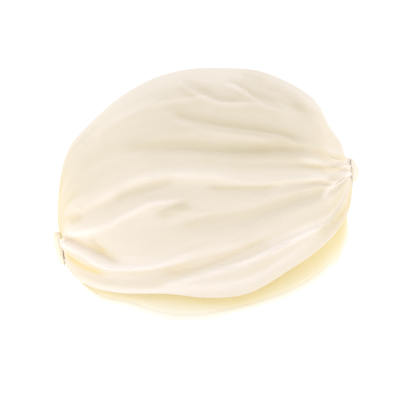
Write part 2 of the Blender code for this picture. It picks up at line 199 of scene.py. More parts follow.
FOLD_PATHS = (
    FoldPath("pleat_rear", 0.8, 4.0, 1.0, (
        (-87, 134.9), (-80.7, 142.1), (-73.2, 148), (-65.4, 152.8), (-57.9, 156.9), (-50.1, 160.2),
        (-42.6, 162.6), (-37.4, 163.9)),
        (-0.08, 0.04, 0.05)),
    FoldPath("pleat_edge", 1.6, 5.0, 1.0, (
        (-42.6, 162.6), (-31.3, 164.6), (-18.5, 166.1), (-5.3, 167.4), (-0.5, 167.7), (3.7, 166.3),
        (7.5, 164.8), (11.3, 163.6), (25, 163.3), (34, 163.3), (40, 162.6), (47.4, 160.4),
        (55, 158.8), (62.5, 157.5)),
        (-0.12, 0.07, -0.1)),
    FoldPath("cross_rear", 2.0, 2.2, 1.0, (
        (-23.4, 181.7), (-20.4, 180.4), (-16.7, 178.4), (-12.9, 175.6), (-8.2, 171.4),
        (-4.2, 168.6), (-0.5, 167.2)),
        (-0.12, 0.15, -0.09)),
    FoldPath("cross_rear_hollow", -3.0, 2.0, 3.8, (
        (-18.1, 181.8), (-14.5, 179.8), (-9.2, 177.9), (-3.8, 175.2), (1.7, 171), (7.1, 168.2),
        (12.7, 167), (20.4, 166.5), (27.2, 166.3), (32.5, 165.4)),
        (0.01, 0.22, -0.08)),
    FoldPath("cross_mid", 2.4, 1.8, 1.2, (
        (11.3, 180), (16.1, 178.9), (20.6, 177.3), (25.1, 175.2), (29.9, 171.9), (33.5, 168.5),
        (38.6, 165.2), (44.3, 162.6)),
        (0.01, 0.22, -0.17)),
    FoldPath("cross_mid_hollow", -1.8, 1.6, 3.4, (
        (17, 181.3), (22.8, 179.9), (28.8, 177.5), (35.1, 174), (41.4, 170.4), (47.1, 166.6),
        (52.1, 162.8)),
        (-0.01, 0.03, -0.01)),
    FoldPath("cross_front", 0.9, 1.5, 1.5, (
        (35.8, 177.6), (42, 174.3), (48.3, 170.4), (52.7, 166.3), (55.8, 161.8)),
        (0.04, -0.11, -0.01)),
    FoldPath("front_hollow", -3.0, 4.2, 2.6, (
        (34.4, 181.6), (40.3, 180), (46.3, 177.6), (52.5, 174.9), (58.8, 171.5), (64.2, 167.4),
        (68.7, 162.7), (72.6, 158.7), (77.8, 155), (84.1, 152)),
        (-0.09, 0.15, -0.12)),
    FoldPath("front_rim", 0.8, 1.5, 2.0, (
        (28.4, 183.4), (35.7, 182.6), (43.4, 181.2), (50.6, 179), (58.4, 176), (65.2, 172.5),
        (70.6, 169.1), (75.3, 164.9), (80.5, 160.3)),
        (-0.07, -0.05, 0.01)),
    FoldPath("top_hollow", -1.6, 1.6, 1.6, (
        (22.3, 187.5), (27.6, 187.2), (34.4, 185.7), (41.6, 184), (47.8, 182.5)),
        (-0.14, -0.05, -0.1)),
    FoldPath("temple", -1.2, 2.8, 3.0, (
        (-30.9, 161.1), (-26.3, 158.7), (-20.4, 156.3), (-15.3, 154.8), (-9.2, 153.3),
        (-1.5, 151.8), (6.2, 150.2), (13.8, 148.8), (25.1, 147.3), (36.6, 145.8), (44.2, 144.7),
        (51.9, 143.4), (57.7, 142), (62.7, 139.6), (68.6, 136.4), (74.8, 133.5)),
        (0.1, -0.06, -0.08)),
    FoldPath("temple_under", 0.6, 3.2, 2.0, (
        (-30.2, 153.3), (-20.5, 149.9), (-9, 146), (-1.3, 143.7), (10, 141.2), (21, 139.3),
        (32.4, 137.9), (43.7, 136.3), (55.3, 134.9)),
        (-0.01, 0.07, -0.1)),
    FoldPath("brow_dark", -0.8, 3.0, 3.0, (
        (-65.9, 128.5), (-50.8, 130.2), (-35.5, 130.9), (-12.8, 131), (-1.3, 129.6), (13.9, 128.8),
        (36.9, 129.3), (52.2, 130.8), (67.8, 130.2), (80.0, 128.6)),
        (-0.0, -0.05, -0.14)),
    FoldPath("brow_line", -1.0, 1.3, 1.5, (
        (60.0, 131.6), (67.8, 131.2), (75.6, 130.2), (82.0, 128.9), (87.2, 127.5), (93.0, 125.5),
        (98.7, 123.6), (105.0, 121.7), (110.3, 119.8), (119.0, 116.5)),
        (0.13, 0.12, 0.17)),
    FoldPath("main_under", -1.3, 2.6, 1.5, (
        (-73.5, 90.3), (-66.3, 93.5), (-58.7, 96.6), (-51.1, 99), (-43.4, 101), (-35.7, 103),
        (-29.4, 103.8), (-20.4, 103.5)),
        (0.06, -0.04, -0.19)),
    FoldPath("main_under_front", -0.6, 3.6, 1.4, (
        (-5.2, 101.6), (3.9, 100.9), (9.8, 100.6), (17.5, 100.5), (28.9, 100.3), (38.7, 100.4),
        (46.4, 101), (55.3, 101.8)),
        (-0.03, -0.27, -0.04)),
    FoldPath("gather_dark", -0.6, 1.6, 0.9, (
        (70.7, 104), (78.3, 104.4), (86.2, 105.3), (92.1, 106.2), (97.3, 106.9), (104.5, 108.4),
        (118.0, 110.5)),
        (-0.05, -0.13, 0.12)),
    FoldPath("gather_mid", -0.7, 1.6, 1.6, (
        (66.0, 118.4), (78.0, 117.3), (91.0, 116.2), (99.5, 115.8), (106.4, 115.2), (120.0, 113.5)),
        (0.13, -0.14, 0.29)),
    FoldPath("dimple", -1.3, 2.6, 2.6, (
        (-107.3, 75.1), (-103.4, 77.6), (-98.7, 79.7), (-93.2, 80.7)),
        (-0.18, 0.02, 0.11)),
    FoldPath("back_crest", 1.6, 2.2, 2.2, (
        (-107, 63.8), (-97.8, 65.6), (-86, 67.8), (-78.9, 69.5), (-71.5, 72.5), (-64.2, 76.9),
        (-56.8, 80.9), (-49.6, 84.5), (-42.3, 87.6), (-35, 89.2), (-29.1, 89.6), (-23.9, 91),
        (-17.9, 93.6)),
        (0.05, 0.18, 0.01)),
    FoldPath("back_under", -1.0, 2.6, 2.6, (
        (-42.6, 81), (-36.6, 82), (-32.7, 83.2), (-27.7, 85.1), (-22.6, 87.1), (-15, 88.6),
        (-8.3, 89)),
        (-0.21, -0.15, -0.05)),
    FoldPath("middle_crest", 0.4, 2.0, 3.4, (
        (-31.7, 71.7), (-24, 74.5), (-16.4, 76.9), (-9, 79.2), (-1.6, 81.5), (5.9, 83.3),
        (13.6, 84.3), (21, 85), (28.7, 86.4), (36.1, 88.7), (41.2, 91), (47.2, 93.3), (55, 95.6),
        (63.9, 98.7)),
        (-0.06, 0.04, 0.03)),
    FoldPath("middle_hollow", -0.8, 4.2, 2.2, (
        (-21.7, 67.8), (-17.3, 69.1), (-11, 70.3), (-5.4, 71.5), (2.5, 72.6), (9.7, 73.8),
        (21.4, 75.6), (32.9, 78), (42.2, 80.9), (51.9, 84.4), (63.1, 88.4), (71, 92.4),
        (80.6, 97.3)),
        (0.01, -0.0, -0.15)),
    FoldPath("nape_hollow", -2.2, 1.6, 3.0, (
        (-121.0, 65.6), (-110.5, 62.0), (-105.7, 60.2), (-98.3, 56.9), (-92.0, 54.2), (-87.3, 52.0),
        (-81.0, 49.2), (-75.3, 46.4), (-68.9, 44.0), (-61.8, 42.6)),
        (0.35, -0.1, -0.2)),
    FoldPath("nape_branch", -1.0, 1.8, 2.4, (
        (-89.4, 64.6), (-86.8, 61.7), (-83.6, 57.6), (-80.6, 53.1), (-76.3, 49.2)),
        (-0.13, -0.13, -0.1)),
    FoldPath("nape_crest", 1.9, 1.9, 1.9, (
        (-119.0, 63.0), (-111.0, 59.4), (-106.6, 57.4), (-101.3, 54.9), (-94.1, 51.6),
        (-88.3, 48.5), (-83.0, 45.0), (-76.0, 42.0), (-68.4, 40.4), (-55.2, 39.8), (-42.3, 40.6),
        (-31.3, 42.2), (-20, 44.8), (-9.1, 47.7)),
        (-0.1, 0.09, 0.07)),
    FoldPath("low_hollow", -0.9, 2.0, 2.2, (
        (-112.5, 52.5), (-105, 47.4), (-99.1, 43.4), (-93.1, 40.0), (-85.3, 36.8), (-74.4, 34.0)),
        (0.03, -0.35, -0.26)),
    FoldPath("low_hollow_front", -1.0, 1.5, 2.8, (
        (-35.7, 36.8), (-29.5, 36.2), (-24.2, 36.2), (-18.6, 36.8), (-13, 38), (-7.6, 39.5),
        (-2.4, 41.4), (3.8, 43.6), (9.9, 45.9), (16, 48.2), (21.2, 50.5), (26.4, 53.1), (32.6, 56),
        (38.5, 58.4), (44.8, 60.6), (51.6, 62.6)),
        (-0.12, -0.02, -0.03)),
    FoldPath("low_crest", 1.5, 1.8, 1.0, (
        (-35.1, 27.8), (-26.1, 29), (-16.4, 31), (-5.1, 33.9), (2.4, 36.2), (9.9, 38.7),
        (17.2, 41.3), (24.6, 43.7), (30.6, 45.9), (36.6, 48.3), (42.6, 50.8), (48.4, 53.1),
        (54.1, 55.8), (60.2, 58.9), (65.2, 61.7), (70.6, 64.5), (76.5, 67.4), (82.9, 70.3),
        (85.5, 72.6)),
        (0.04, 0.16, 0.12)),
    FoldPath("front_crest", 0.7, 1.5, 1.5, (
        (85.8, 89.8), (87.9, 93.6), (90.9, 97.4), (94.4, 101), (96.9, 103.7), (99.2, 105.7),
        (100.5, 107.4)),
        (0.14, 0.31, -0.08)),
    FoldPath("edge_hollow_front", -0.9, 1.8, 1.8, (
        (83.7, 61.6), (88.4, 65.1), (92, 67.8), (95.2, 70.8), (99.5, 75), (102.5, 79.6),
        (104.7, 84.2), (106.8, 88.2)),
        (-0.09, 0.07, -0.33)),
)


@dataclass(frozen=True)
class BandEdge:
    """The hem band's lower edge and tuck at one place along the crown's edge, in millimetres."""

    along: float
    lower_z: float
    tuck: float


BAND_EDGES = (
    BandEdge(0.000, 58.6, 6.0),
    BandEdge(0.144, 57.6, 9.0),
    BandEdge(0.190, 53.0, 10.0),
    BandEdge(0.225, 43.8, 11.0),
    BandEdge(0.260, 39.4, 12.0),
    BandEdge(0.295, 32.4, 12.0),
    BandEdge(0.369, 18.2, 12.0),
    BandEdge(0.436, 8.2, 12.0),
    BandEdge(0.470, 4.4, 12.0),
    BandEdge(0.500, 1.2, 12.0),
    BandEdge(0.540, 0.0, 12.0),
    BandEdge(0.580, 3.0, 12.0),
    BandEdge(0.631, 9.2, 12.0),
    BandEdge(0.705, 14.8, 12.0),
    BandEdge(0.740, 19.8, 12.0),
    BandEdge(0.775, 25.8, 12.0),
    BandEdge(0.820, 32.4, 12.0),
    BandEdge(0.856, 35.4, 11.0),
    BandEdge(0.922, 39.2, 10.0),
    BandEdge(1.000, 41.0, 8.0),
)


def smooth_through(places: list[float], values: list[float], at: np.ndarray) -> np.ndarray:
    """Read a smooth curve that passes through given values without overshooting them.

    Args:
        places: Where the values are known, rising.
        values: The known values.
        at: Where to read the curve.

    Returns:
        The curve's values at those places.
    """
    known = np.asarray(places, float)
    level = np.asarray(values, float)
    slopes = np.gradient(level, known)
    steps = np.diff(level) / np.diff(known)
    for i in range(1, len(known) - 1):
        if steps[i - 1] * steps[i] <= 0.0:
            slopes[i] = 0.0
        else:
            limit = 3.0 * min(abs(steps[i - 1]), abs(steps[i]))
            slopes[i] = math.copysign(min(abs(slopes[i]), limit), steps[i])
    at = np.asarray(at, float)
    i = np.clip(np.searchsorted(known, at) - 1, 0, len(known) - 2)
    span = known[i + 1] - known[i]
    t = (at - known[i]) / span
    return (
        level[i] * (1 + 2 * t) * (1 - t) ** 2
        + level[i + 1] * t * t * (3 - 2 * t)
        + slopes[i] * span * t * (1 - t) ** 2
        - slopes[i + 1] * span * t * t * (1 - t)
    )


def linear_colour(code: str) -> tuple[float, float, float, float]:
    """Turn an sRGB hex colour to the linear colour a shader takes.

    Args:
        code: Six hex digits, such as "F3EAD6".

    Returns:
        Linear red, green, blue and an alpha of one.
    """
    parts = [int(code[i:i + 2], 16) / 255 for i in (0, 2, 4)]
    linear = [c / 12.92 if c <= 0.04045 else ((c + 0.055) / 1.055) ** 2.4 for c in parts]
    return (linear[0], linear[1], linear[2], 1.0)


def add_node(tree: bpy.types.NodeTree, kind: str, settings: dict, links: dict) -> bpy.types.Node:
    """Add a shader node with its settings and links.

    Args:
        tree: The node tree it goes into.
        kind: The node's type name.
        settings: Socket values by socket name or number, and node properties by name.
        links: Output sockets by the name or number of the input they feed.

    Returns:
        The new node.
    """
    node = tree.nodes.new(kind)
    for key, value in settings.items():
        if isinstance(key, int) or key in node.inputs:
            node.inputs[key].default_value = value
        else:
            setattr(node, key, value)
    for key, socket in links.items():
        tree.links.new(socket, node.inputs[key])
    return node


def mesh_object(
    name: str,
    points: np.ndarray,
    faces: list[np.ndarray],
    fold: np.ndarray,
    cloth_mm: np.ndarray,
    round_mm: float = 0.0,
) -> bpy.types.Object:
    """Make a smooth-shaded object from points and blocks of faces.

    Args:
        name: The piece's name.
        points: Vertices in metres, count by 3.
        faces: Blocks of faces, each faces by corners, with their corners in outward order.
        fold: Each vertex's painted shade, from darkest (0) to lightest (1).
        cloth_mm: Each vertex's place on the flat cloth in mm, count by 2.
        round_mm: The length round a closed sheet, or 0 for an open one.

    Returns:
        The new object, linked to the scene.
    """
    mesh = bpy.data.meshes.new(name)
    flat = [cloth_mm[block] for block in faces]
    for block in flat:
        over = np.ptp(block[..., 0], axis=1, keepdims=True) > round_mm / 2
        block[..., 0] += round_mm * (over & (block[..., 0] < round_mm / 2))
    corners = np.concatenate([block.ravel() for block in faces]).astype(np.int32)
    sizes = np.concatenate([np.full(len(block), block.shape[1]) for block in faces])
    starts = np.concatenate([[0], np.cumsum(sizes)[:-1]]).astype(np.int32)
    mesh.vertices.add(len(points))
    mesh.vertices.foreach_set("co", points.astype(np.float32).ravel())
    mesh.loops.add(len(corners))
    mesh.loops.foreach_set("vertex_index", corners)
    mesh.polygons.add(len(starts))
    mesh.polygons.foreach_set("loop_start", starts)
    mesh.update(calc_edges=True)
    mesh.validate()
    mesh.shade_smooth()
    attribute = mesh.attributes.new("fold", "FLOAT", "POINT")
    attribute.data.foreach_set("value", fold.astype(np.float32).ravel())
    uv_map = mesh.uv_layers.new(name="cloth")
    corners_mm = np.concatenate([block.reshape(-1, 2) for block in flat])
    uv_map.data.foreach_set("uv", corners_mm.astype(np.float32).ravel())
    thing = bpy.data.objects.new(name, mesh)
    bpy.context.scene.collection.objects.link(thing)
    return thing


def cloth_sheet(
    name: str,
    outer: np.ndarray,
    inward: np.ndarray,
    closed: bool,
    fold: np.ndarray,
) -> bpy.types.Object:
    """Build a sheet with thickness: a fine outer face, and an inner one of half as many rows.

    Args:
        name: The piece's name.
        outer: Points of the outer face, rows by columns by 3. Columns are odd in number, and rows
            are odd too, or even where the sheet is closed.
        inward: The step from each outer point to the inner face, the same way.
        closed: True where the last row joins the first.
        fold: Each outer point's painted shade, from darkest (0) to lightest (1).

    Returns:
        The new object, linked to the scene.
    """
    rows, columns = outer.shape[:2]
    number = np.arange(rows * columns).reshape(rows, columns)
    inner = (outer + inward)[::2, ::2]
    below = rows * columns + np.arange(inner.shape[0] * inner.shape[1]).reshape(inner.shape[:2])
    if closed:
        number, below = np.vstack([number, number[:1]]), np.vstack([below, below[:1]])
    faces = [np.stack([number[:-1, :-1], number[1:, :-1], number[1:, 1:], number[:-1, 1:]], -1),
             np.stack([below[:-1, :-1], below[:-1, 1:], below[1:, 1:], below[1:, :-1]], -1)]
    faces = [block.reshape(-1, 4) for block in faces]
    rims = [(number[:, 0], below[:, 0], True), (number[:, -1], below[:, -1], False)]
    if not closed:
        rims += [(number[0], below[0], False), (number[-1], below[-1], True)]
    for fine, coarse, turned in rims:
        rim = np.stack([fine[:-1:2], coarse[:-1], coarse[1:], fine[2::2], fine[1::2]], -1)
        faces.append(rim if turned else rim[:, ::-1])
    flat = lay_flat(outer)
    points = np.concatenate([outer.reshape(-1, 3), inner.reshape(-1, 3)])
    folds = np.concatenate([fold.ravel(), fold[::2, ::2].ravel()])
    cloth = np.concatenate([flat.reshape(-1, 2), flat[::2, ::2].reshape(-1, 2)])
    ends = np.linalg.norm(outer[0] - outer[-1], axis=-1).mean() / MM
    return mesh_object(name, points, faces, folds, cloth, flat[-1, 0, 0] + ends if closed else 0.0)


@dataclass(frozen=True)
class JerseyFinish:
    """Ivory cotton jersey, circular knitted and washed soft.

    To the eye it is matt and slightly fuzzy, with a pale rim where it turns away and the faint
    columns of the knit. Its colour is a lit cream and a painted shade cream, and a warm painted
    bounce shade in the darkest folds by the gathers and the lower edge.
    """

    name: str
    ridge: str
    valley: str
    warm_valley: str
    grain: Grain
    wale_mm: float = 2.3
    course_mm: float = 1.7
    course_share: float = 0.45
    loop_lean: float = 0.9
    fuzz_per_m: float = 900.0
    fuzz_share: float = 0.9
    knit_depth: float = 0.09
    knit_height: float = 0.6 * MM
    clouds_per_m: float = 26.0
    cloud_depth: float = 0.16
    gather_reach: tuple[float, float] = (0.080, 0.025)
    edge_reach: tuple[float, float] = (0.075, 0.035)
    warm_slope: float = -2.2
    warm_start: float = 1.5
    roughness: float = 0.88
    specular: float = 0.25
    sheen: float = 0.22
    sheen_roughness: float = 0.45
    sheen_tint: tuple[float, float, float, float] = (1.0, 0.985, 0.95, 1.0)
    ior: float = 1.47

    def make(self) -> bpy.types.Material:
        """Build the node material.

        Returns:
            The finished material.
        """
        material = bpy.data.materials.new(self.name)
        material.use_nodes = True
        tree = material.node_tree
        tree.nodes.clear()
        output = add_node(tree, "ShaderNodeOutputMaterial", {}, {})
        # The fold attribute holds painted shade and light, from darkest (0) to lightest (1)
        fold = add_node(tree, "ShaderNodeAttribute", {"attribute_name": "fold"}, {})
        cloth = add_node(tree, "ShaderNodeUVMap", {"uv_map": "cloth"}, {})
        place = add_node(tree, "ShaderNodeTexCoord", {}, {}).outputs["Object"]
        # Cloudy uneven dye, patches 30 to 50 mm across
        clouds = add_node(tree, "ShaderNodeTexNoise",
                          {"Scale": self.clouds_per_m, "Detail": 3.0}, {"Vector": place})
        depth = add_node(tree, "ShaderNodeMath",
                         {"operation": "MULTIPLY_ADD", 1: self.cloud_depth,
                          2: -self.cloud_depth / 2},
                         {0: clouds.outputs["Fac"]})
        shade = add_node(tree, "ShaderNodeMath", {"operation": "ADD", "use_clamp": True},
                         {0: fold.outputs["Fac"], 1: depth.outputs[0]})
        # Painted warm bounce light: near the gathers and the lower edge, the darkest painted shade
        # is a warmer cream
        spot = add_node(tree, "ShaderNodeSeparateXYZ", {}, {"Vector": place})
        front, rear = (
            add_node(tree, "ShaderNodeVectorMath", {"operation": "DISTANCE", 1: gather}, {0: place})
            for gather in (FRONT_GATHER, REAR_GATHER)
        )
        nearest = add_node(tree, "ShaderNodeMath", {"operation": "MINIMUM"},
                           {0: front.outputs["Value"], 1: rear.outputs["Value"]})
        gathers, edge = (
            add_node(tree, "ShaderNodeMapRange", {"From Min": far, "From Max": near},
                     {"Value": measure})
            for (far, near), measure in ((self.gather_reach, nearest.outputs[0]),
                                         (self.edge_reach, spot.outputs["Z"]))
        )
        painted_light_mask = add_node(tree, "ShaderNodeMath", {"operation": "MAXIMUM"},
                           {0: gathers.outputs["Result"], 1: edge.outputs["Result"]})
        sunk = add_node(tree, "ShaderNodeMath",
                        {"operation": "MULTIPLY_ADD", "use_clamp": True,
                         1: self.warm_slope, 2: self.warm_start},
                        {0: shade.outputs[0]})
        warmth = add_node(tree, "ShaderNodeMath", {"operation": "MULTIPLY"},
                          {0: painted_light_mask.outputs[0], 1: sunk.outputs[0]})
        deep = add_node(tree, "ShaderNodeMix",
                        {"data_type": "RGBA", 6: linear_colour(self.valley),
                         7: linear_colour(self.warm_valley)},
                        {0: warmth.outputs[0]})
        # The cloth's lit cream and its painted shade cream, mixed by the painted shade value
        colour = add_node(tree, "ShaderNodeMix",
                          {"data_type": "RGBA", 7: linear_colour(self.ridge)},
                          {0: shade.outputs[0], 6: deep.outputs[2]})
        # Real wales and courses lie about 0.8 and 0.6 mm apart, too fine for the view, so they
        # are drawn nearly three times as far apart, and faint
        parts = add_node(tree, "ShaderNodeSeparateXYZ", {}, {"Vector": cloth.outputs["UV"]})
        wales, courses = (
            add_node(tree, "ShaderNodeMath", {"operation": "MULTIPLY", 1: 2 * math.pi / spacing},
                     {0: parts.outputs[axis]})
            for spacing, axis in zip((self.wale_mm, self.course_mm), self.grain.value)
        )
        ribs = add_node(tree, "ShaderNodeMath", {"operation": "SINE"}, {0: wales.outputs[0]})
        lean = add_node(tree, "ShaderNodeMath", {"operation": "MULTIPLY_ADD", 1: self.loop_lean},
                        {0: ribs.outputs[0], 2: courses.outputs[0]})
        loops = add_node(tree, "ShaderNodeMath", {"operation": "SINE"}, {0: lean.outputs[0]})
        stitch = add_node(tree, "ShaderNodeMath",
                          {"operation": "MULTIPLY_ADD", 1: self.course_share},
                          {0: loops.outputs[0], 2: ribs.outputs[0]})
        fuzz = add_node(tree, "ShaderNodeTexNoise", {"Scale": self.fuzz_per_m, "Detail": 2.0},
                        {"Vector": place})
        grain = add_node(tree, "ShaderNodeMath", {"operation": "MULTIPLY_ADD", 1: self.fuzz_share},
                         {0: fuzz.outputs["Fac"], 2: stitch.outputs[0]})
        bump = add_node(tree, "ShaderNodeBump",
                        {"Strength": self.knit_depth, "Distance": self.knit_height},
                        {"Height": grain.outputs[0]})
        shader = add_node(
            tree,
            "ShaderNodeBsdfPrincipled",
            {
                "Roughness": self.roughness,
                "Metallic": 0.0,
                "IOR": self.ior,
                "Specular IOR Level": self.specular,
                "Sheen Weight": self.sheen,
                "Sheen Roughness": self.sheen_roughness,
                "Sheen Tint": self.sheen_tint,
            },
            {"Base Color": colour.outputs[2], "Normal": bump.outputs["Normal"]},
        )
        tree.links.new(shader.outputs["BSDF"], output.inputs["Surface"])
        return material


@dataclass
class CrownSurface:
    """The crown's form: a fan of sections hung between two side-view curves, with its folds."""

    fullness: float = 0.92
    roll_radius: float = 3.4 * MM
    roll_radius_gather: float = 2.0 * MM
    min_gap: float = 0.007
    left_shift: float = 0.010
    left_change: float = 0.22
    roll_power: float = 1.5
    along: list[float] = field(default_factory=lambda: [s.along for s in SECTIONS])

    def size(self, name: str, u: np.ndarray) -> np.ndarray:
        """Read one size of the sections at places along the crown.

        Args:
            name: The size's field name.
            u: Places from the front gather (0) to the rear gather (1).

        Returns:
            The sizes there, in millimetres.
        """
        return smooth_through(self.along, [getattr(s, name) for s in SECTIONS], u)

    def roll(self, u: np.ndarray) -> np.ndarray:
        """Return the radius of the rolled lower edge."""
        share = np.sin(np.pi * np.clip(u, 0, 1)) ** self.roll_power
        return self.roll_radius_gather + (self.roll_radius - self.roll_radius_gather) * share

    def beta(self, u: np.ndarray) -> np.ndarray:
        """Return how far below the widest level the section runs, as an angle."""
        ratio = np.clip(self.size("edge_width", u) / self.size("half_width", u), 0, 1)
        return np.arccos(ratio ** (1 / self.fullness))

    def angle(self, u: np.ndarray, share: np.ndarray) -> np.ndarray:
        """Return the section angle at a share of the height.

        Args:
            u: Places along the crown.
            share: Shares of the section's height, from its edge (0) to its top (1).

        Returns:
            The angles, negative below the widest level.
        """
        widest = self.size("widest", u)
        above = np.clip((share - widest) / (1 - widest), 0, 1) ** (1 / self.fullness)
        below = np.arcsin(np.clip((widest - share) / widest, 0, 1)) / (np.pi / 2)
        return np.where(share >= widest, np.arcsin(above), -self.beta(u) * below)

    def point(self, u: np.ndarray, angle: np.ndarray, side: Side) -> np.ndarray:
        """Return points of the plain form.

        Args:
            u: Places along the crown.
            angle: Section angles, the same shape.
            side: Which half.

        Returns:
            Points in metres, with a last axis of 3.
        """
        edge = np.stack([self.size("edge_x", u), 0 * u, self.size("edge_z", u)], -1) * MM
        top = np.stack([self.size("top_x", u), 0 * u, self.size("top_z", u)], -1) * MM
        widest = self.size("widest", u)
        roll = self.roll(u) / np.linalg.norm(top - edge, axis=-1)
        up = widest + (1 - widest) * np.sin(np.clip(angle, 0, np.pi / 2)) ** self.fullness
        low = np.sin(np.clip(-angle / self.beta(u), 0, 1) * np.pi / 2)
        share = np.where(angle >= 0, up, widest - (widest - roll) * low)
        width = self.size("half_width", u) * MM * np.clip(np.cos(angle), 0, 1) ** self.fullness
        out = edge + (top - edge) * share[..., None]
        out[..., 1] += side.value * width
        return out

    def lines(self, u: np.ndarray, side: Side) -> tuple[np.ndarray, np.ndarray]:
        """Read the fold lines.

        Args:
            u: Places along the crown.
            side: Which half. The left half's lines are a little moved, higher or lower.

        Returns:
            The lines' shares of the section's height and their own heights in mm, one row for
            each line from the edge to the top.
        """
        shares, heights = [0 * u], [0 * u]
        for number, fold in enumerate(FOLDS):
            share = smooth_through(FOLD_STATIONS, fold.shares, u)
            rise = smooth_through(FOLD_STATIONS, fold.heights, u)
            if side is Side.LEFT:
                fade = np.sin(np.pi * u) * np.sin(np.pi * share)
                share = share + self.left_shift * np.sin(5.0 * u + 1.9 * number) * fade
                rise = rise * (1 + self.left_change * math.sin(2.3 * number + 1.0))
            shares.append(np.maximum(share, shares[-1] + self.min_gap))
            heights.append(rise)
        over = np.maximum(0.0, shares[-1] - (1 - self.min_gap))
        shares = [share - over * share for share in shares]
        return np.stack(shares + [0 * u + 1]), np.stack(heights + [0 * u])


def line_shades(
    form: CrownSurface, u: np.ndarray, share: np.ndarray, side: Side
) -> np.ndarray:
    """Add up the painted shade and highlight along the long folds.

    Args:
        form: The crown's form.
        u: Places along the crown.
        share: Shares of the sections' height, places by columns.
        side: Which half.

    Returns:
        The painted shade or highlight: what each point is lighter or darker by.
    """
    shares, _ = form.lines(u, side)
    tall = form.size("top_z", u) - form.size("edge_z", u)
    shade = 0.0 * share
    for fold, middle in zip(FOLDS, shares[1:-1]):
        depth = smooth_through(SHADE_STATIONS, (0.0, *fold.shades, 0.0), u)
        away = (share - middle[:, None]) * tall[:, None] / SHADE_WIDTH_MM
        shade = shade + depth[:, None] * np.exp(-(away**2))
    return shade


def eased(start: np.ndarray, end: np.ndarray, t: float) -> np.ndarray:
    """Blend two fold heights so that ridges are a little sharper than valleys.

    Args:
        start: Heights on the lower line.
        end: Heights on the upper line.
        t: Share of the way from the lower to the upper.

    Returns:
        The heights there.
    """
    soft = t * t * (3 - 2 * t)
    blend = np.where(start > end, 1 - (1 - t) ** EASE_POWER, t**EASE_POWER)
    return start + (end - start) * (EASE_SHARE * blend + (1 - EASE_SHARE) * soft)


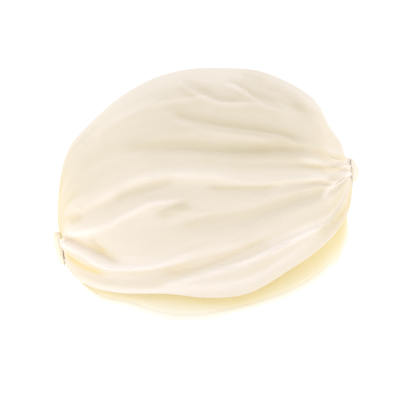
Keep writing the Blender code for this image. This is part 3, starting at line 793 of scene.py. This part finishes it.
@dataclass
class CrownDrape:
    """The gathered crown of ivory jersey with its folds and rolled lower edge."""

    form: CrownSurface
    thickness: float = 1.5 * MM
    stations: int = 241
    half_columns: int = 150
    roll_turn: float = math.radians(112)
    roll_steps: int = 6
    pleat_depth_mm: float = 0.7
    pleat_fade: float = 0.075
    pleat_start: float = 0.02
    pleat_shares: tuple[float, float] = (0.6, 0.4)
    pleat_turn: float = 1.3
    still_ends: float = 0.05
    wrinkle_mm: float = 0.10
    wrinkle_count: int = 22
    wrinkle_lean: tuple[float, float] = (-0.45, 0.65)
    wrinkle_width_mm: tuple[float, float] = (6.0, 15.0)
    wrinkle_at_x_mm: tuple[float, float] = (-90, 90)
    wrinkle_at_z_mm: tuple[float, float] = (30, 170)
    wrinkle_reach_mm: tuple[float, float] = (18, 45)
    wrinkle_tall_mm: tuple[float, float] = (10, 22)
    # Painted shade in the hollows and highlight on the ridges from the relief, painted light by the
    # front gather, and a broad painted shade by height, front and rear
    fold_window_mm: float = 8.0
    fold_gain: float = 0.095
    gather_light: float = 0.022
    painted_shade_shares: tuple[float, ...] = (0.0, 0.06, 0.25, 0.45, 0.56, 0.66, 0.80, 0.90, 1.0)
    painted_shade_change: tuple[float, float] = (0.25, 0.75)
    painted_shade_front: tuple[float, ...] = (0.08, 0.02, -0.05, 0.0, 0.08, -0.02, -0.02, 0.10, 0.20)
    painted_shade_rear: tuple[float, ...] = (0.26, 0.22, 0.16, 0.12, 0.06, -0.10, -0.08, 0.08, 0.20)
    cut_m: tuple[float, float] = (0.49, 0.34)
    cut_area_m2: float = 0.142
    seed: int = 7

    def steps(self) -> list[int]:
        """Share the columns out over the fold lines.

        Returns:
            How many columns lie between each line and the next, by their distance.
        """
        u = np.array([0.36, 0.5, 0.64])
        shares, _ = self.form.lines(u, Side.RIGHT)
        angles = self.form.angle(u, shares)
        points = np.stack([self.form.point(u, angle, Side.RIGHT) for angle in angles])
        gaps = np.linalg.norm(np.diff(points, axis=0), axis=-1).mean(1)
        return [max(3, round(self.half_columns * gap / gaps.sum())) for gap in gaps]

    def half(
        self, u: np.ndarray, side: Side
    ) -> tuple[np.ndarray, np.ndarray, np.ndarray, np.ndarray]:
        """Lay out one half of the grid.

        Args:
            u: Places along the crown.
            side: Which half.

        Returns:
            Section angles, fold heights in mm, shares of height and line numbers, each shaped
            places by columns.
        """
        shares, heights = self.form.lines(u, side)
        angles = self.form.angle(u, shares)
        columns = [(angles[0], heights[0], shares[0], 0.0 * u)]
        for k, count in enumerate(self.steps()):
            for step in range(1, count + 1):
                t = step / count
                columns.append((
                    angles[k] + (angles[k + 1] - angles[k]) * t,
                    eased(heights[k], heights[k + 1], t),
                    shares[k] + (shares[k + 1] - shares[k]) * t,
                    0 * u + k + t,
                ))
        return tuple(np.stack(values, -1) for values in zip(*columns))

    def pleats(self, u: np.ndarray, line: np.ndarray) -> np.ndarray:
        """Shape the small pleats that the gathers press into the cloth.

        Args:
            u: Places along the crown.
            line: Line numbers, places by columns.

        Returns:
            The relief in mm, places by columns.
        """
        near = np.minimum(u, 1 - u)[:, None]
        fade = np.exp(-((near / self.pleat_fade) ** 2)) * np.clip(near / self.pleat_start, 0, 1)
        wide, fine = self.pleat_shares
        wave = wide * np.cos(2 * np.pi * line) + fine * np.cos(4 * np.pi * line + self.pleat_turn)
        return self.pleat_depth_mm * fade * wave

    def wrinkles(self, points: np.ndarray, side: Side) -> np.ndarray:
        """Shape faint seeded wrinkles that run roughly with the folds.

        Args:
            points: The plain form's points, in metres.
            side: Which half.

        Returns:
            The relief in mm, one value for each point.
        """
        rng = np.random.default_rng(self.seed + side.value)
        x, z = points[..., 0] / MM, points[..., 2] / MM
        relief = 0.0 * x
        for _ in range(self.wrinkle_count):
            lean, width = rng.uniform(*self.wrinkle_lean), rng.uniform(*self.wrinkle_width_mm)
            phase = rng.uniform(0, 2 * np.pi)
            at_x, at_z = rng.uniform(*self.wrinkle_at_x_mm), rng.uniform(*self.wrinkle_at_z_mm)
            reach, tall = rng.uniform(*self.wrinkle_reach_mm), rng.uniform(*self.wrinkle_tall_mm)
            gate = np.exp(-(((x - at_x) / reach) ** 2) - ((z - at_z) / tall) ** 2)
            relief = relief + gate * np.sin(2 * np.pi * (z - lean * x) / width + phase)
        return self.wrinkle_mm * relief

    def build(self) -> bpy.types.Object:
        """Build the crown's mesh.

        Returns:
            The crown, standing for its solid.
        """
        u = np.linspace(0.0, 1.0, self.stations)
        halves = {}
        for side in Side:
            angle, height, share, line = self.half(u, side)
            points = self.form.point(np.broadcast_to(u[:, None], angle.shape), angle, side)
            inside = np.clip(np.minimum(u, 1 - u)[:, None] / self.still_ends, 0, 1)
            height = height + self.pleats(u, line) + inside * self.wrinkles(points, side)
            # Painted shade and highlight along the short and long folds, and a broad painted shade
            # by height that changes from front to rear
            relief, painted_shade = short_folds(points, side, self.seed)
            front, rear = (smooth_through(self.painted_shade_shares, tones, share)
                           for tones in (self.painted_shade_front, self.painted_shade_rear))
            start, end = self.painted_shade_change
            rearward = np.clip((u[:, None] - start) / (end - start), 0, 1)
            lines = line_shades(self.form, u, share, side)
            painted_shade = painted_shade + lines + front + (rear - front) * rearward
            halves[side] = (points, height + inside * relief, painted_shade)
        points, height, painted_shade = (
            np.concatenate([left, right[:, -2::-1]], 1)
            for left, right in zip(halves[Side.LEFT], halves[Side.RIGHT])
        )
        normal = np.cross(np.gradient(points, axis=0), np.gradient(points, axis=1))
        normal /= np.linalg.norm(normal, axis=-1, keepdims=True)
        outer = points + normal * height[..., None] * MM
        inward = -normal * self.thickness
        rolls = [self.rolled_edge(u, points[:, i], normal[:, i], points[:, j])
                 for i, j in ((0, 1), (-1, -2))]
        outer = np.concatenate([rolls[0][0][:, ::-1], outer, rolls[1][0]], 1)
        inward = np.concatenate([rolls[0][1][:, ::-1], inward, rolls[1][1]], 1)
        pad = ((0, 0), (self.roll_steps, self.roll_steps))
        # The fold value is painted shade: darker in the hollows and lighter on the ridges by their
        # relief, painted lighter by the front gather, and fully light on the rolled edge
        relief = above_neighbours(points, height, self.fold_window_mm)
        fold = np.clip(0.5 + painted_shade + self.fold_gain * relief, 0, 1)
        painted_light_mask = np.exp(-((u / self.gather_light) ** 2))[:, None]
        fold = fold + (1 - fold) * painted_light_mask
        fold = np.pad(fold, pad, constant_values=1.0)
        return cloth_sheet("crown_cloth", outer, inward, False, fold)

    def rolled_edge(
        self, u: np.ndarray, start: np.ndarray, normal: np.ndarray, above: np.ndarray
    ) -> tuple[np.ndarray, np.ndarray]:
        """Roll the lower edge of one half under.

        Args:
            u: Places along the crown.
            start: The half's lowest points, in metres.
            normal: The way out from the cloth there.
            above: The next points up.

        Returns:
            The points round the roll and the steps from them to its inner face.
        """
        radius = self.form.roll(u)[:, None]
        up = above - start
        up = up - normal * (up * normal).sum(-1, keepdims=True)
        down = -up / np.linalg.norm(up, axis=-1, keepdims=True)
        centre = start - normal * radius
        turns = [self.roll_turn * (step + 1) / self.roll_steps for step in range(self.roll_steps)]
        rays = [normal * math.cos(turn) + down * math.sin(turn) for turn in turns]
        outer = np.stack([centre + ray * radius for ray in rays], 1)
        return outer, -np.stack(rays, 1) * self.thickness

    def dress(self, crown: bpy.types.Object) -> None:
        """Args:
            crown: The crown's mesh object.
        """
        # A lit cream, a painted shade cream and a warm painted bounce shade
        finish = JerseyFinish("ivory_cotton_jersey_crown", "FBF2EC", "D3C7A8", "EBD28C",
                              Grain.LENGTHWISE)
        crown.data.materials.append(finish.make())
        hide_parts("crown_drape")
        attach(crown, "root")


def short_folds(points: np.ndarray, side: Side, seed: int) -> tuple[np.ndarray, np.ndarray]:
    """Add up the shorter folds over one half of the crown.

    Args:
        points: The plain form's points, in metres.
        side: Which half. The left half has the same folds a little moved and softened.
        seed: Seed of the left half's changes.

    Returns:
        The relief in mm and the painted shade or highlight, what the cloth is lighter or darker by,
        one value for each point.
    """
    rng = np.random.default_rng(seed + 100)
    x, z = points[..., 0].ravel() / MM, points[..., 2].ravel() / MM
    relief, painted_shade = np.zeros(x.size), np.zeros(x.size)
    for fold in FOLD_PATHS:
        move_x = rng.uniform(-LEFT_MOVE_X_MM, LEFT_MOVE_X_MM)
        move_z = rng.uniform(-LEFT_MOVE_Z_MM, LEFT_MOVE_Z_MM)
        strength = rng.uniform(*LEFT_STRENGTH)
        path = np.array(fold.path, float)
        height = fold.height
        if side is Side.LEFT:
            path, height = path + (move_x, move_z), height * strength
        away, run, length = distance_to_path(x, z, path)
        width = np.where(away > 0, fold.above, fold.below)
        fade = min(PATH_FADE_SHARE, PATH_FADE_MM / length)
        ends = np.clip(np.minimum(run, 1 - run) / fade, 0, 1)
        ends = ends * ends * (3 - 2 * ends)
        relief += height * ends * np.exp(-np.abs(away / width) ** PATH_SHARPNESS)
        spread = (
            (-SHADE_STEP_MM, SHADE_WIDTH_MM),
            (0.0, SHADE_LINE_MM),
            (SHADE_STEP_MM, SHADE_WIDTH_MM),
        )
        for (step, width), shade in zip(spread, fold.shades):
            painted_shade += shade * ends * np.exp(-(((away - step) / width) ** 2))
    return relief.reshape(points.shape[:2]), painted_shade.reshape(points.shape[:2])


def distance_to_path(
    x: np.ndarray, z: np.ndarray, path: np.ndarray
) -> tuple[np.ndarray, np.ndarray, float]:
    """Measure places in the side view against a smooth path.

    Args:
        x: Places along X in mm.
        z: Places along Z in mm.
        path: The path's places, count by 2, from rear to front.

    Returns:
        The distance from the path, positive above it, the share of the path passed, and the
        path's length in mm.
    """
    gone = np.concatenate([[0.0], np.cumsum(np.hypot(*np.diff(path, axis=0).T))])
    places = np.linspace(0.0, gone[-1], 3 * len(path))
    line = np.stack([smooth_through(gone, path[:, i], places) for i in (0, 1)], -1)
    away, run = np.full(x.size, 1e3), np.zeros(x.size)
    for k, (start, step) in enumerate(zip(line[:-1], np.diff(line, axis=0))):
        size = math.hypot(*step)
        t = np.clip(((x - start[0]) * step[0] + (z - start[1]) * step[1]) / size**2, 0, 1)
        off_x, off_z = x - start[0] - t * step[0], z - start[1] - t * step[1]
        distance = np.hypot(off_x, off_z)
        nearer = distance < np.abs(away)
        sign = np.where(step[0] * off_z - step[1] * off_x >= 0, 1.0, -1.0)
        away[nearer] = (sign * distance)[nearer]
        run[nearer] = ((k + t) / (len(line) - 1))[nearer]
    return away, run, float(gone[-1])


def above_neighbours(points: np.ndarray, height: np.ndarray, window_mm: float) -> np.ndarray:
    """Compare each point's fold height with the mean height round it, across the cloth.

    Args:
        points: The plain form's points in metres, rows by columns by 3.
        height: Their fold heights in mm.
        window_mm: How far the mean reaches.

    Returns:
        Millimetres above the neighbours, negative in a fold.
    """
    gaps = np.linalg.norm(np.diff(points, axis=1), axis=-1) / MM
    run = np.concatenate([np.zeros((len(points), 1)), np.cumsum(gaps, 1)], 1)
    share = np.gradient(run, axis=1)
    out = np.empty_like(height)
    for row in range(len(points)):
        weight = np.exp(-(((run[row][:, None] - run[row]) / window_mm) ** 2)) * share[row]
        out[row] = height[row] - weight @ height[row] / weight.sum(1)
    return out


def lay_flat(points: np.ndarray) -> np.ndarray:
    """Measure each point's place on the flat cloth.

    Args:
        points: A grid of points in metres, rows by columns by 3.

    Returns:
        Millimetres along the rows' course and across it, rows by columns by 2.
    """
    across = np.linalg.norm(np.diff(points, axis=1), axis=-1)
    along = np.linalg.norm(np.diff(points, axis=0), axis=-1).mean(1)
    middle = points.shape[1] // 2
    run = np.concatenate([np.zeros((points.shape[0], 1)), np.cumsum(across, 1)], 1)
    run = run - run[:, middle:middle + 1]
    widest = run[points.shape[0] // 2]
    rise = np.concatenate([[0.0], np.cumsum(along)])
    grid = np.broadcast_to(rise[:, None], run.shape)
    return np.stack([grid, np.broadcast_to(widest, run.shape)], -1) / MM


@dataclass
class HemBand:
    """The recessed hem band: a closed loop of doubled jersey with a stitched lower edge."""

    form: CrownSurface
    recess: float = 5.6 * MM
    recess_gather: float = 3.4 * MM
    thickness: float = 1.7 * MM
    lean_front: float = 6.5 * MM
    lean_side: float = 1.0 * MM
    around: int = 360
    rows: int = 34
    row_crowding: float = 1.3
    recess_power: float = 1.5
    lip_mm: float = 4.6
    lip_swell_mm: float = 0.35
    crease_mm: float = 0.25
    crease_above_mm: float = 0.5
    crease_width_mm: float = 0.8
    pull_mm: float = 0.10
    pull_count: int = 86
    pull_drift: tuple[float, int] = (1.2, 5)
    pull_reach_mm: float = 6.0
    wave_mm: float = 0.35
    wave_count: int = 9
    wave_lean_per_mm: float = 0.12
    wave_from_mm: float = 20
    # Painted shadow under the drape, painted light at the rear, painted shade at the front and a
    # painted highlight on the lip
    shadow_depth: float = 0.9
    shadow_power: float = 0.8
    shadow_power_front: float = 2.4
    shadow_ease_front: float = 0.7
    rear_light: float = 0.25
    front_dim: float = 0.28
    lip_light: float = 0.12
    cut_m: tuple[float, float] = (0.56, 0.062)
    cut_area_m2: float = 0.0165

    def plan(self, u: np.ndarray) -> np.ndarray:
        """Lay out the band's course in plan, before the recess.

        Args:
            u: Places along the crown.

        Returns:
            Points in metres, with a last axis of 3.
        """
        width = self.form.size("edge_width", u)
        width = width - SECTIONS[0].edge_width * (1 - np.sin(np.pi * u))
        return np.stack([self.form.size("edge_x", u), width, 0 * u], -1) * MM

    def build(self) -> bpy.types.Object:
        """Build the band's mesh.

        Returns:
            The band, standing for its solid.
        """
        turn = np.arange(self.around) / self.around * 2 * np.pi
        side = np.where(turn <= np.pi, 1.0, -1.0)
        u = np.where(turn <= np.pi, turn / np.pi, 2 - turn / np.pi)
        place = self.plan(u)
        course = self.plan(np.clip(u + 0.01, 0, 1)) - self.plan(np.clip(u - 0.01, 0, 1))
        ends = (u < 1e-9) | (u > 1 - 1e-9)
        course[ends] = np.stack([0 * u, 1 - 2 * u, 0 * u], -1)[ends]
        outward = np.stack([course[:, 1], -course[:, 0], 0 * u], -1)
        outward /= np.linalg.norm(outward, axis=-1, keepdims=True)
        mirror = np.stack([0 * u + 1, side, 0 * u + 1], -1)
        place, outward = place * mirror, outward * mirror
        known = [b.along for b in BAND_EDGES]
        low, tuck = (
            smooth_through(known, [getattr(b, name) for b in BAND_EDGES], u) * MM
            for name in ("lower_z", "tuck")
        )
        edge = self.form.size("edge_z", u) * MM
        high = edge + tuck
        front, rear = np.clip(np.cos(np.pi * u), 0, 1), np.clip(-2 * np.cos(np.pi * u), 0, 1)
        lean = self.lean_side + (self.lean_front - self.lean_side) * front**2
        set_back = np.sin(np.pi * u) ** self.recess_power
        recess = self.recess_gather + (self.recess - self.recess_gather) * set_back
        drift, drift_count = self.pull_drift
        pulls = np.sin(turn * self.pull_count + drift * np.sin(turn * drift_count))
        outer, folds = [], []
        for step in range(self.rows + 1):
            t = (step / self.rows) ** self.row_crowding
            up_mm = t * (high - low) / MM
            lip = self.lip_swell_mm * np.clip(1 - (2 * up_mm / self.lip_mm - 1) ** 2, 0, 1)
            past_lip = (up_mm - self.lip_mm - self.crease_above_mm) / self.crease_width_mm
            crease = -self.crease_mm * np.exp(-(past_lip**2))
            pull = self.pull_mm * pulls * np.exp(-up_mm / self.pull_reach_mm)
            wave = self.wave_mm * np.sin(turn * self.wave_count + self.wave_lean_per_mm * up_mm)
            relief = lip + crease + pull + wave * np.clip(up_mm / self.wave_from_mm, 0, 1)
            point = place - outward * (recess + lean * t * t - relief * MM)[:, None]
            point[:, 2] = low + (high - low) * t
            outer.append(point)
            # Painted shadow under the drape's rolled edge, fading towards the lower edge, lighter
            # at the rear and darker at the front, with a painted highlight on the lip and painted
            # shade in its crease
            below_drape = np.clip((edge - point[:, 2]) / (self.shadow_depth * (edge - low)), 0, 1)
            power = self.shadow_power + self.shadow_power_front * front**self.shadow_ease_front
            least = self.rear_light * rear
            lift = (least + (1 - least) * below_drape**power) * (1 - self.front_dim * front)
            folds.append(np.clip(lift + self.lip_light * (lip + crease), 0, 1))
        outer = np.stack(outer, 1)
        inward = -np.broadcast_to(outward[:, None], outer.shape) * self.thickness
        return cloth_sheet("hem_band_cloth", outer, inward, True, np.stack(folds, 1))

    def dress(self, band: bpy.types.Object) -> None:
        """Args:
            band: The band's mesh object.
        """
        # A lit cream and a painted shade cream
        finish = JerseyFinish("ivory_cotton_jersey_doubled_hem", "FEFAF2", "EEDEAC", "EEDEAC",
                              Grain.CROSSWISE, knit_depth=0.04)
        band.data.materials.append(finish.make())
        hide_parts("hem_band")
        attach(band, "root")


@dataclass(frozen=True)
class TabRow:
    """One level of a gather tab, in millimetres."""

    level: float
    outer_x: float
    inner_x: float
    half_width: float


FRONT_TAB_ROWS = (
    TabRow(104.8, 113.4, 112.3, 2.6),
    TabRow(106.4, 114.6, 112.3, 5.0),
    TabRow(109.5, 115.9, 112.3, 6.4),
    TabRow(113.5, 116.5, 112.6, 7.0),
    TabRow(117.5, 115.2, 112.3, 6.8),
    TabRow(121.0, 113.4, 111.9, 5.2),
    TabRow(122.8, 112.5, 111.6, 2.6),
)
REAR_TAB_ROWS = (
    TabRow(40.6, -110.6, -109.4, 2.6),
    TabRow(42.6, -112.0, -109.7, 5.0),
    TabRow(46.5, -114.2, -110.5, 6.6),
    TabRow(52.0, -115.9, -110.9, 7.4),
    TabRow(57.5, -117.0, -111.0, 7.3),
    TabRow(63.6, -117.6, -111.3, 6.2),
    TabRow(66.6, -116.8, -112.2, 3.0),
)


@dataclass
class GatherTab:
    """A small folded cloth tab that closes one gather, with a stem into the gather's slot."""

    name: str
    node: str
    rows: tuple[TabRow, ...]
    facing: int
    wrap: float
    inner_shade_value: float
    cut_m: tuple[float, float]
    seat: float = 0.0
    seat_half_width: float = 5.4 * MM
    seat_ends: float = 8
    stem_half_width: float = 1.4 * MM
    stem_reach: float = 4.5 * MM
    levels: int = 40
    ring: int = 48
    pleat_depth: float = 0.28 * MM
    pleats_per_mm: float = 2.1
    pleat_drift: tuple[float, float] = (0.25, 0.6)
    side_power: float = 0.75
    swell_power: float = 0.6
    stem_power: int = 6
    stem_taper: float = 1.6
    wrap_from: float = 3.9 * MM
    wrap_over: float = 2.2 * MM
    # Painted light on the tab's side away from the gather, a little painted shade where it faces
    # straight out, and painted highlights on its pleats
    lit_from: float = 0.35
    lip_light: float = 0.88
    outward_dim: float = 0.2
    pleat_light: float = 0.12

    def build(self) -> bpy.types.Object:
        """Build the tab's mesh.

        Returns:
            The tab, standing for its solid.
        """
        rows = self.rows
        levels = np.linspace(rows[0].level, rows[-1].level, self.levels)
        known = [r.level for r in rows]
        outer_x, inner_x, half = (
            smooth_through(known, [getattr(r, name) for r in rows], levels) * MM
            for name in ("outer_x", "inner_x", "half_width")
        )
        middle = (levels[0] + levels[-1]) / 2
        away = 2 * abs(levels - middle) / (levels[-1] - levels[0])
        reach = self.stem_reach * np.clip(self.stem_taper * (1 - away), 0, 1)
        lean, lean_per_mm = self.pleat_drift
        turn = np.linspace(0, 2 * np.pi, self.ring, endpoint=False)
        grid, folds = [], []
        for level, out, inn, wide, stem in zip(levels, outer_x, inner_x, half, reach):
            cos, sin = np.cos(turn), np.sin(turn)
            y = wide * np.sign(sin) * abs(sin) ** self.side_power
            swell = np.sign(cos) * abs(cos) ** self.swell_power
            x = (out + inn) / 2 + (out - inn) / 2 * swell
            drift = lean * math.sin(level * lean_per_mm)
            pleat = self.pleat_depth * np.cos(y / MM * self.pleats_per_mm + drift)
            outside = np.clip(cos, 0, 1) ** 0.5
            x = x + self.facing * pleat * outside * np.clip(1 - abs(y) / (wide + 1e-6), 0, 1)
            behind = np.clip(-cos * 4, 0, 1)
            stalk = np.exp(-((y / self.stem_half_width) ** self.stem_power)) * behind
            x = x - self.facing * stem * stalk
            # The front tab sits close on its gather, so that no dark gap shows beside it
            seat = np.exp(-((y / self.seat_half_width) ** self.stem_power)) * behind
            seated = np.clip(stem / self.stem_reach * self.seat_ends, 0, 1)
            x = x - self.facing * self.seat * seat * seated
            round_it = np.clip((abs(y) - self.wrap_from) / self.wrap_over, 0, 1)
            x = x - self.facing * self.wrap * round_it * round_it * (3 - 2 * round_it)
            grid.append(np.stack([x, y, 0 * x + level * MM], -1))
            # Painted light and shade: the side towards the gather keeps the tab's inner painted
            # value, the rest is painted lighter, a little darker where it faces straight out, with
            # painted highlights on the pleats
            lit = np.clip((cos + 1.0) / self.lit_from, 0, 1)
            outer_shade_value = self.lip_light - self.outward_dim * np.clip(3 * cos, 0, 1)
            outer_shade_value = outer_shade_value + self.pleat_light * pleat / self.pleat_depth
            folds.append(self.inner_shade_value + lit * (outer_shade_value - self.inner_shade_value) + 0 * x)
        return closed_tube(self.name, np.stack(grid), np.stack(folds), self.facing < 0)

    def dress(self, tab: bpy.types.Object) -> None:
        """Args:
            tab: The tab's mesh object.
        """
        # A lit cream, a painted shade cream and a warm painted bounce shade
        finish = JerseyFinish(f"ivory_cotton_jersey_{self.node}", "FDF7EE", "E6D6AE", "EBD28C",
                              Grain.CROSSWISE)
        tab.data.materials.append(finish.make())
        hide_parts(self.node)
        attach(tab, "root")


def closed_tube(
    name: str, grid: np.ndarray, folds: np.ndarray, turned: bool
) -> bpy.types.Object:
    """Build a closed tube with capped ends from rings of points.

    Args:
        name: The piece's name.
        grid: Rings by points by 3, in metres.
        folds: The painted shade value of each point.
        turned: True where the rings run clockwise seen from above.

    Returns:
        The new object, smooth shaded.
    """
    rings, size = grid.shape[:2]
    number = np.arange(rings * size).reshape(rings, size)
    after = np.roll(number, -1, axis=1)
    caps = np.full((2, size), rings * size) + [[0], [1]]
    faces = [
        np.stack([number[:-1], after[:-1], after[1:], number[1:]], -1).reshape(-1, 4),
        np.stack([caps[0], after[0], number[0]], -1),
        np.stack([caps[1], number[-1], after[-1]], -1),
    ]
    if turned:
        faces = [block[:, ::-1] for block in faces]
    points = np.concatenate([grid.reshape(-1, 3), grid[[0, -1]].mean(1)])
    fold = np.append(folds.ravel(), [0.5, 0.5])
    return mesh_object(name, points, faces, fold, points[:, [2, 1]] / MM)


@dataclass
class Studio:
    """A plain pale floor, a white surround and one soft light, with the camera side on."""

    pixel_mm: float = 0.7695
    frame_px: float = 400.0
    centre_x: float = -5.2 * MM
    centre_z: float = 91.2 * MM
    camera_distance: float = 4.0
    floor_z: float = -0.35
    floor_size: float = 0.55
    surround_front: float = 0.78
    surround_round: float = 1.20
    surround_low: float = 2.05
    low_lean: float = 0.10
    low_reach: tuple[float, float] = (-0.9, 0.1)
    warm_reach: tuple[float, float] = (0.2, -0.6)
    warm_white: tuple[float, float, float, float] = (1.0, 0.985, 0.93, 1.0)
    seen_white: float = 1.05
    softbox_place: tuple[float, float, float] = (0.0, -0.3, 1.5)
    softbox_size: float = 1.2
    softbox_power: float = 0.5

    def camera(self) -> None:
        """Place the camera level with the wrap, looking at its right side."""
        data = bpy.data.cameras.new("side_camera")
        data.sensor_width = 36.0
        data.lens = data.sensor_width * self.camera_distance / (self.pixel_mm * MM * self.frame_px)
        data.clip_end = 50.0
        camera = bpy.data.objects.new("side_camera", data)
        camera.location = (self.centre_x, -self.camera_distance, self.centre_z)
        camera.rotation_euler = (math.pi / 2, 0.0, 0.0)
        bpy.context.scene.collection.objects.link(camera)
        bpy.context.scene.camera = camera

    def floor(self) -> None:
        """Lay the pale floor under the wrap."""
        mesh = bpy.data.meshes.new("pale_floor")
        count = 64
        ring = [2 * math.pi * i / count for i in range(count)]
        points = [
            (self.floor_size * math.cos(a), self.floor_size * math.sin(a), self.floor_z)
            for a in ring
        ]
        mesh.from_pydata(points, [], [tuple(range(count))])
        floor = bpy.data.objects.new("pale_floor", mesh)
        bpy.context.scene.collection.objects.link(floor)
        material = bpy.data.materials.new("matt_white_paper")
        material.use_nodes = True
        tree = material.node_tree
        tree.nodes.clear()
        output = add_node(tree, "ShaderNodeOutputMaterial", {}, {})
        # Uncoated studio paper: an even pale ground with no glint, which sends soft light back up
        paper = add_node(tree, "ShaderNodeBsdfPrincipled",
                         {"Base Color": linear_colour("F8F8F8"), "Roughness": 0.95}, {})
        # The paper's lower face lets the view from below through to the wrap.
        clear = add_node(tree, "ShaderNodeBsdfTransparent", {}, {})
        face = add_node(tree, "ShaderNodeNewGeometry", {}, {})
        mix = add_node(tree, "ShaderNodeMixShader", {}, {0: face.outputs["Backfacing"],
                                                         1: paper.outputs["BSDF"],
                                                         2: clear.outputs["BSDF"]})
        tree.links.new(mix.outputs["Shader"], output.inputs["Surface"])
        mesh.materials.append(material)

    def surround(self) -> None:
        """Set the white surround, softer square on to each side, and brighter and warmer below."""
        world = bpy.data.worlds.new("white_surround")
        bpy.context.scene.world = world
        world.use_nodes = True
        tree = world.node_tree
        tree.nodes.clear()
        output = add_node(tree, "ShaderNodeOutputWorld", {}, {})
        place = add_node(tree, "ShaderNodeTexCoord", {}, {})
        parts = add_node(tree, "ShaderNodeSeparateXYZ", {}, {"Vector": place.outputs["Generated"]})
        aside = add_node(tree, "ShaderNodeMath", {"operation": "ABSOLUTE"}, {0: parts.outputs["Y"]})
        front = add_node(tree, "ShaderNodeMapRange",
                         {"From Min": 1.0, "From Max": 0.0, "To Min": self.surround_front,
                          "To Max": self.surround_round},
                         {"Value": aside.outputs[0]})
        # The light from below comes a little from the rear, and is a little warm
        height = add_node(tree, "ShaderNodeMath", {"operation": "MULTIPLY_ADD", 1: self.low_lean},
                          {0: parts.outputs["X"], 2: parts.outputs["Z"]})
        low = add_node(tree, "ShaderNodeMapRange",
                       {"From Min": self.low_reach[0], "From Max": self.low_reach[1],
                        "To Min": self.surround_low, "To Max": 1.0},
                       {"Value": height.outputs[0]})
        soft = add_node(tree, "ShaderNodeMath", {"operation": "MULTIPLY"},
                        {0: front.outputs["Result"], 1: low.outputs["Result"]})
        seen = add_node(tree, "ShaderNodeLightPath", {}, {})
        strength = add_node(tree, "ShaderNodeMix", {"data_type": "FLOAT", 3: self.seen_white},
                            {0: seen.outputs["Is Camera Ray"], 2: soft.outputs[0]})
        warm = add_node(tree, "ShaderNodeMapRange",
                        {"From Min": self.warm_reach[0], "From Max": self.warm_reach[1]},
                        {"Value": parts.outputs["Z"]})
        white = (1.0, 1.0, 1.0, 1.0)
        tint = add_node(tree, "ShaderNodeMix",
                        {"data_type": "RGBA", 6: white, 7: self.warm_white},
                        {0: warm.outputs["Result"]})
        colour = add_node(tree, "ShaderNodeMix", {"data_type": "RGBA", 7: white},
                          {0: seen.outputs["Is Camera Ray"], 6: tint.outputs[2]})
        back = add_node(tree, "ShaderNodeBackground", {},
                        {"Color": colour.outputs[2], "Strength": strength.outputs[0]})
        tree.links.new(back.outputs["Background"], output.inputs["Surface"])

    def lamp(
        self, name: str, place: tuple[float, float, float], size: float, power: float
    ) -> None:
        """Hang one soft square light that faces the wrap.

        Args:
            name: The light's name.
            place: Where it hangs.
            size: Its width and height.
            power: Its power in watts.
        """
        data = bpy.data.lights.new(name, "AREA")
        data.shape = "SQUARE"
        data.size = size
        data.energy = power
        lamp = bpy.data.objects.new(name, data)
        lamp.location = place
        reach = [target - at for target, at in zip((0.0, 0.0, self.centre_z), place)]
        lamp.rotation_euler = (
            math.atan2(math.hypot(reach[0], reach[1]), -reach[2]),
            0.0,
            math.atan2(reach[1], reach[0]) - math.pi / 2,
        )
        bpy.context.scene.collection.objects.link(lamp)

    def build(self) -> None:
        """Set up the whole studio."""
        self.camera()
        self.floor()
        self.surround()
        self.lamp("softbox_top", self.softbox_place, self.softbox_size, self.softbox_power)
        bpy.context.scene.view_settings.view_transform = "Standard"


def main() -> None:
    """Build every piece in order and report it."""
    logging.basicConfig(level=logging.INFO, format="%(message)s")
    Studio().build()
    form = CrownSurface()
    makers = [
        CrownDrape(form),
        HemBand(form),
        # The front tab's side towards its gather is painted light, the rear tab's a middle painted
        # shade
        GatherTab("front_tab_cloth", "front_tab", FRONT_TAB_ROWS, facing=1, wrap=1.6 * MM,
                  inner_shade_value=0.95, cut_m=(0.019, 0.016), seat=1.1 * MM),
        GatherTab("rear_tab_cloth", "rear_tab", REAR_TAB_ROWS, facing=-1, wrap=1.2 * MM,
                  inner_shade_value=0.5, cut_m=(0.026, 0.019)),
    ]
    for maker in makers:
        piece = maker.build()
        maker.dress(piece)
        triangles = sum(len(p.vertices) - 2 for p in piece.data.polygons)
        area = sum(p.area for p in piece.data.polygons)
        LOG.info("%s: %d triangles, %.4f square metres", piece.name, triangles, area)


if __name__ == "__main__":
    main()
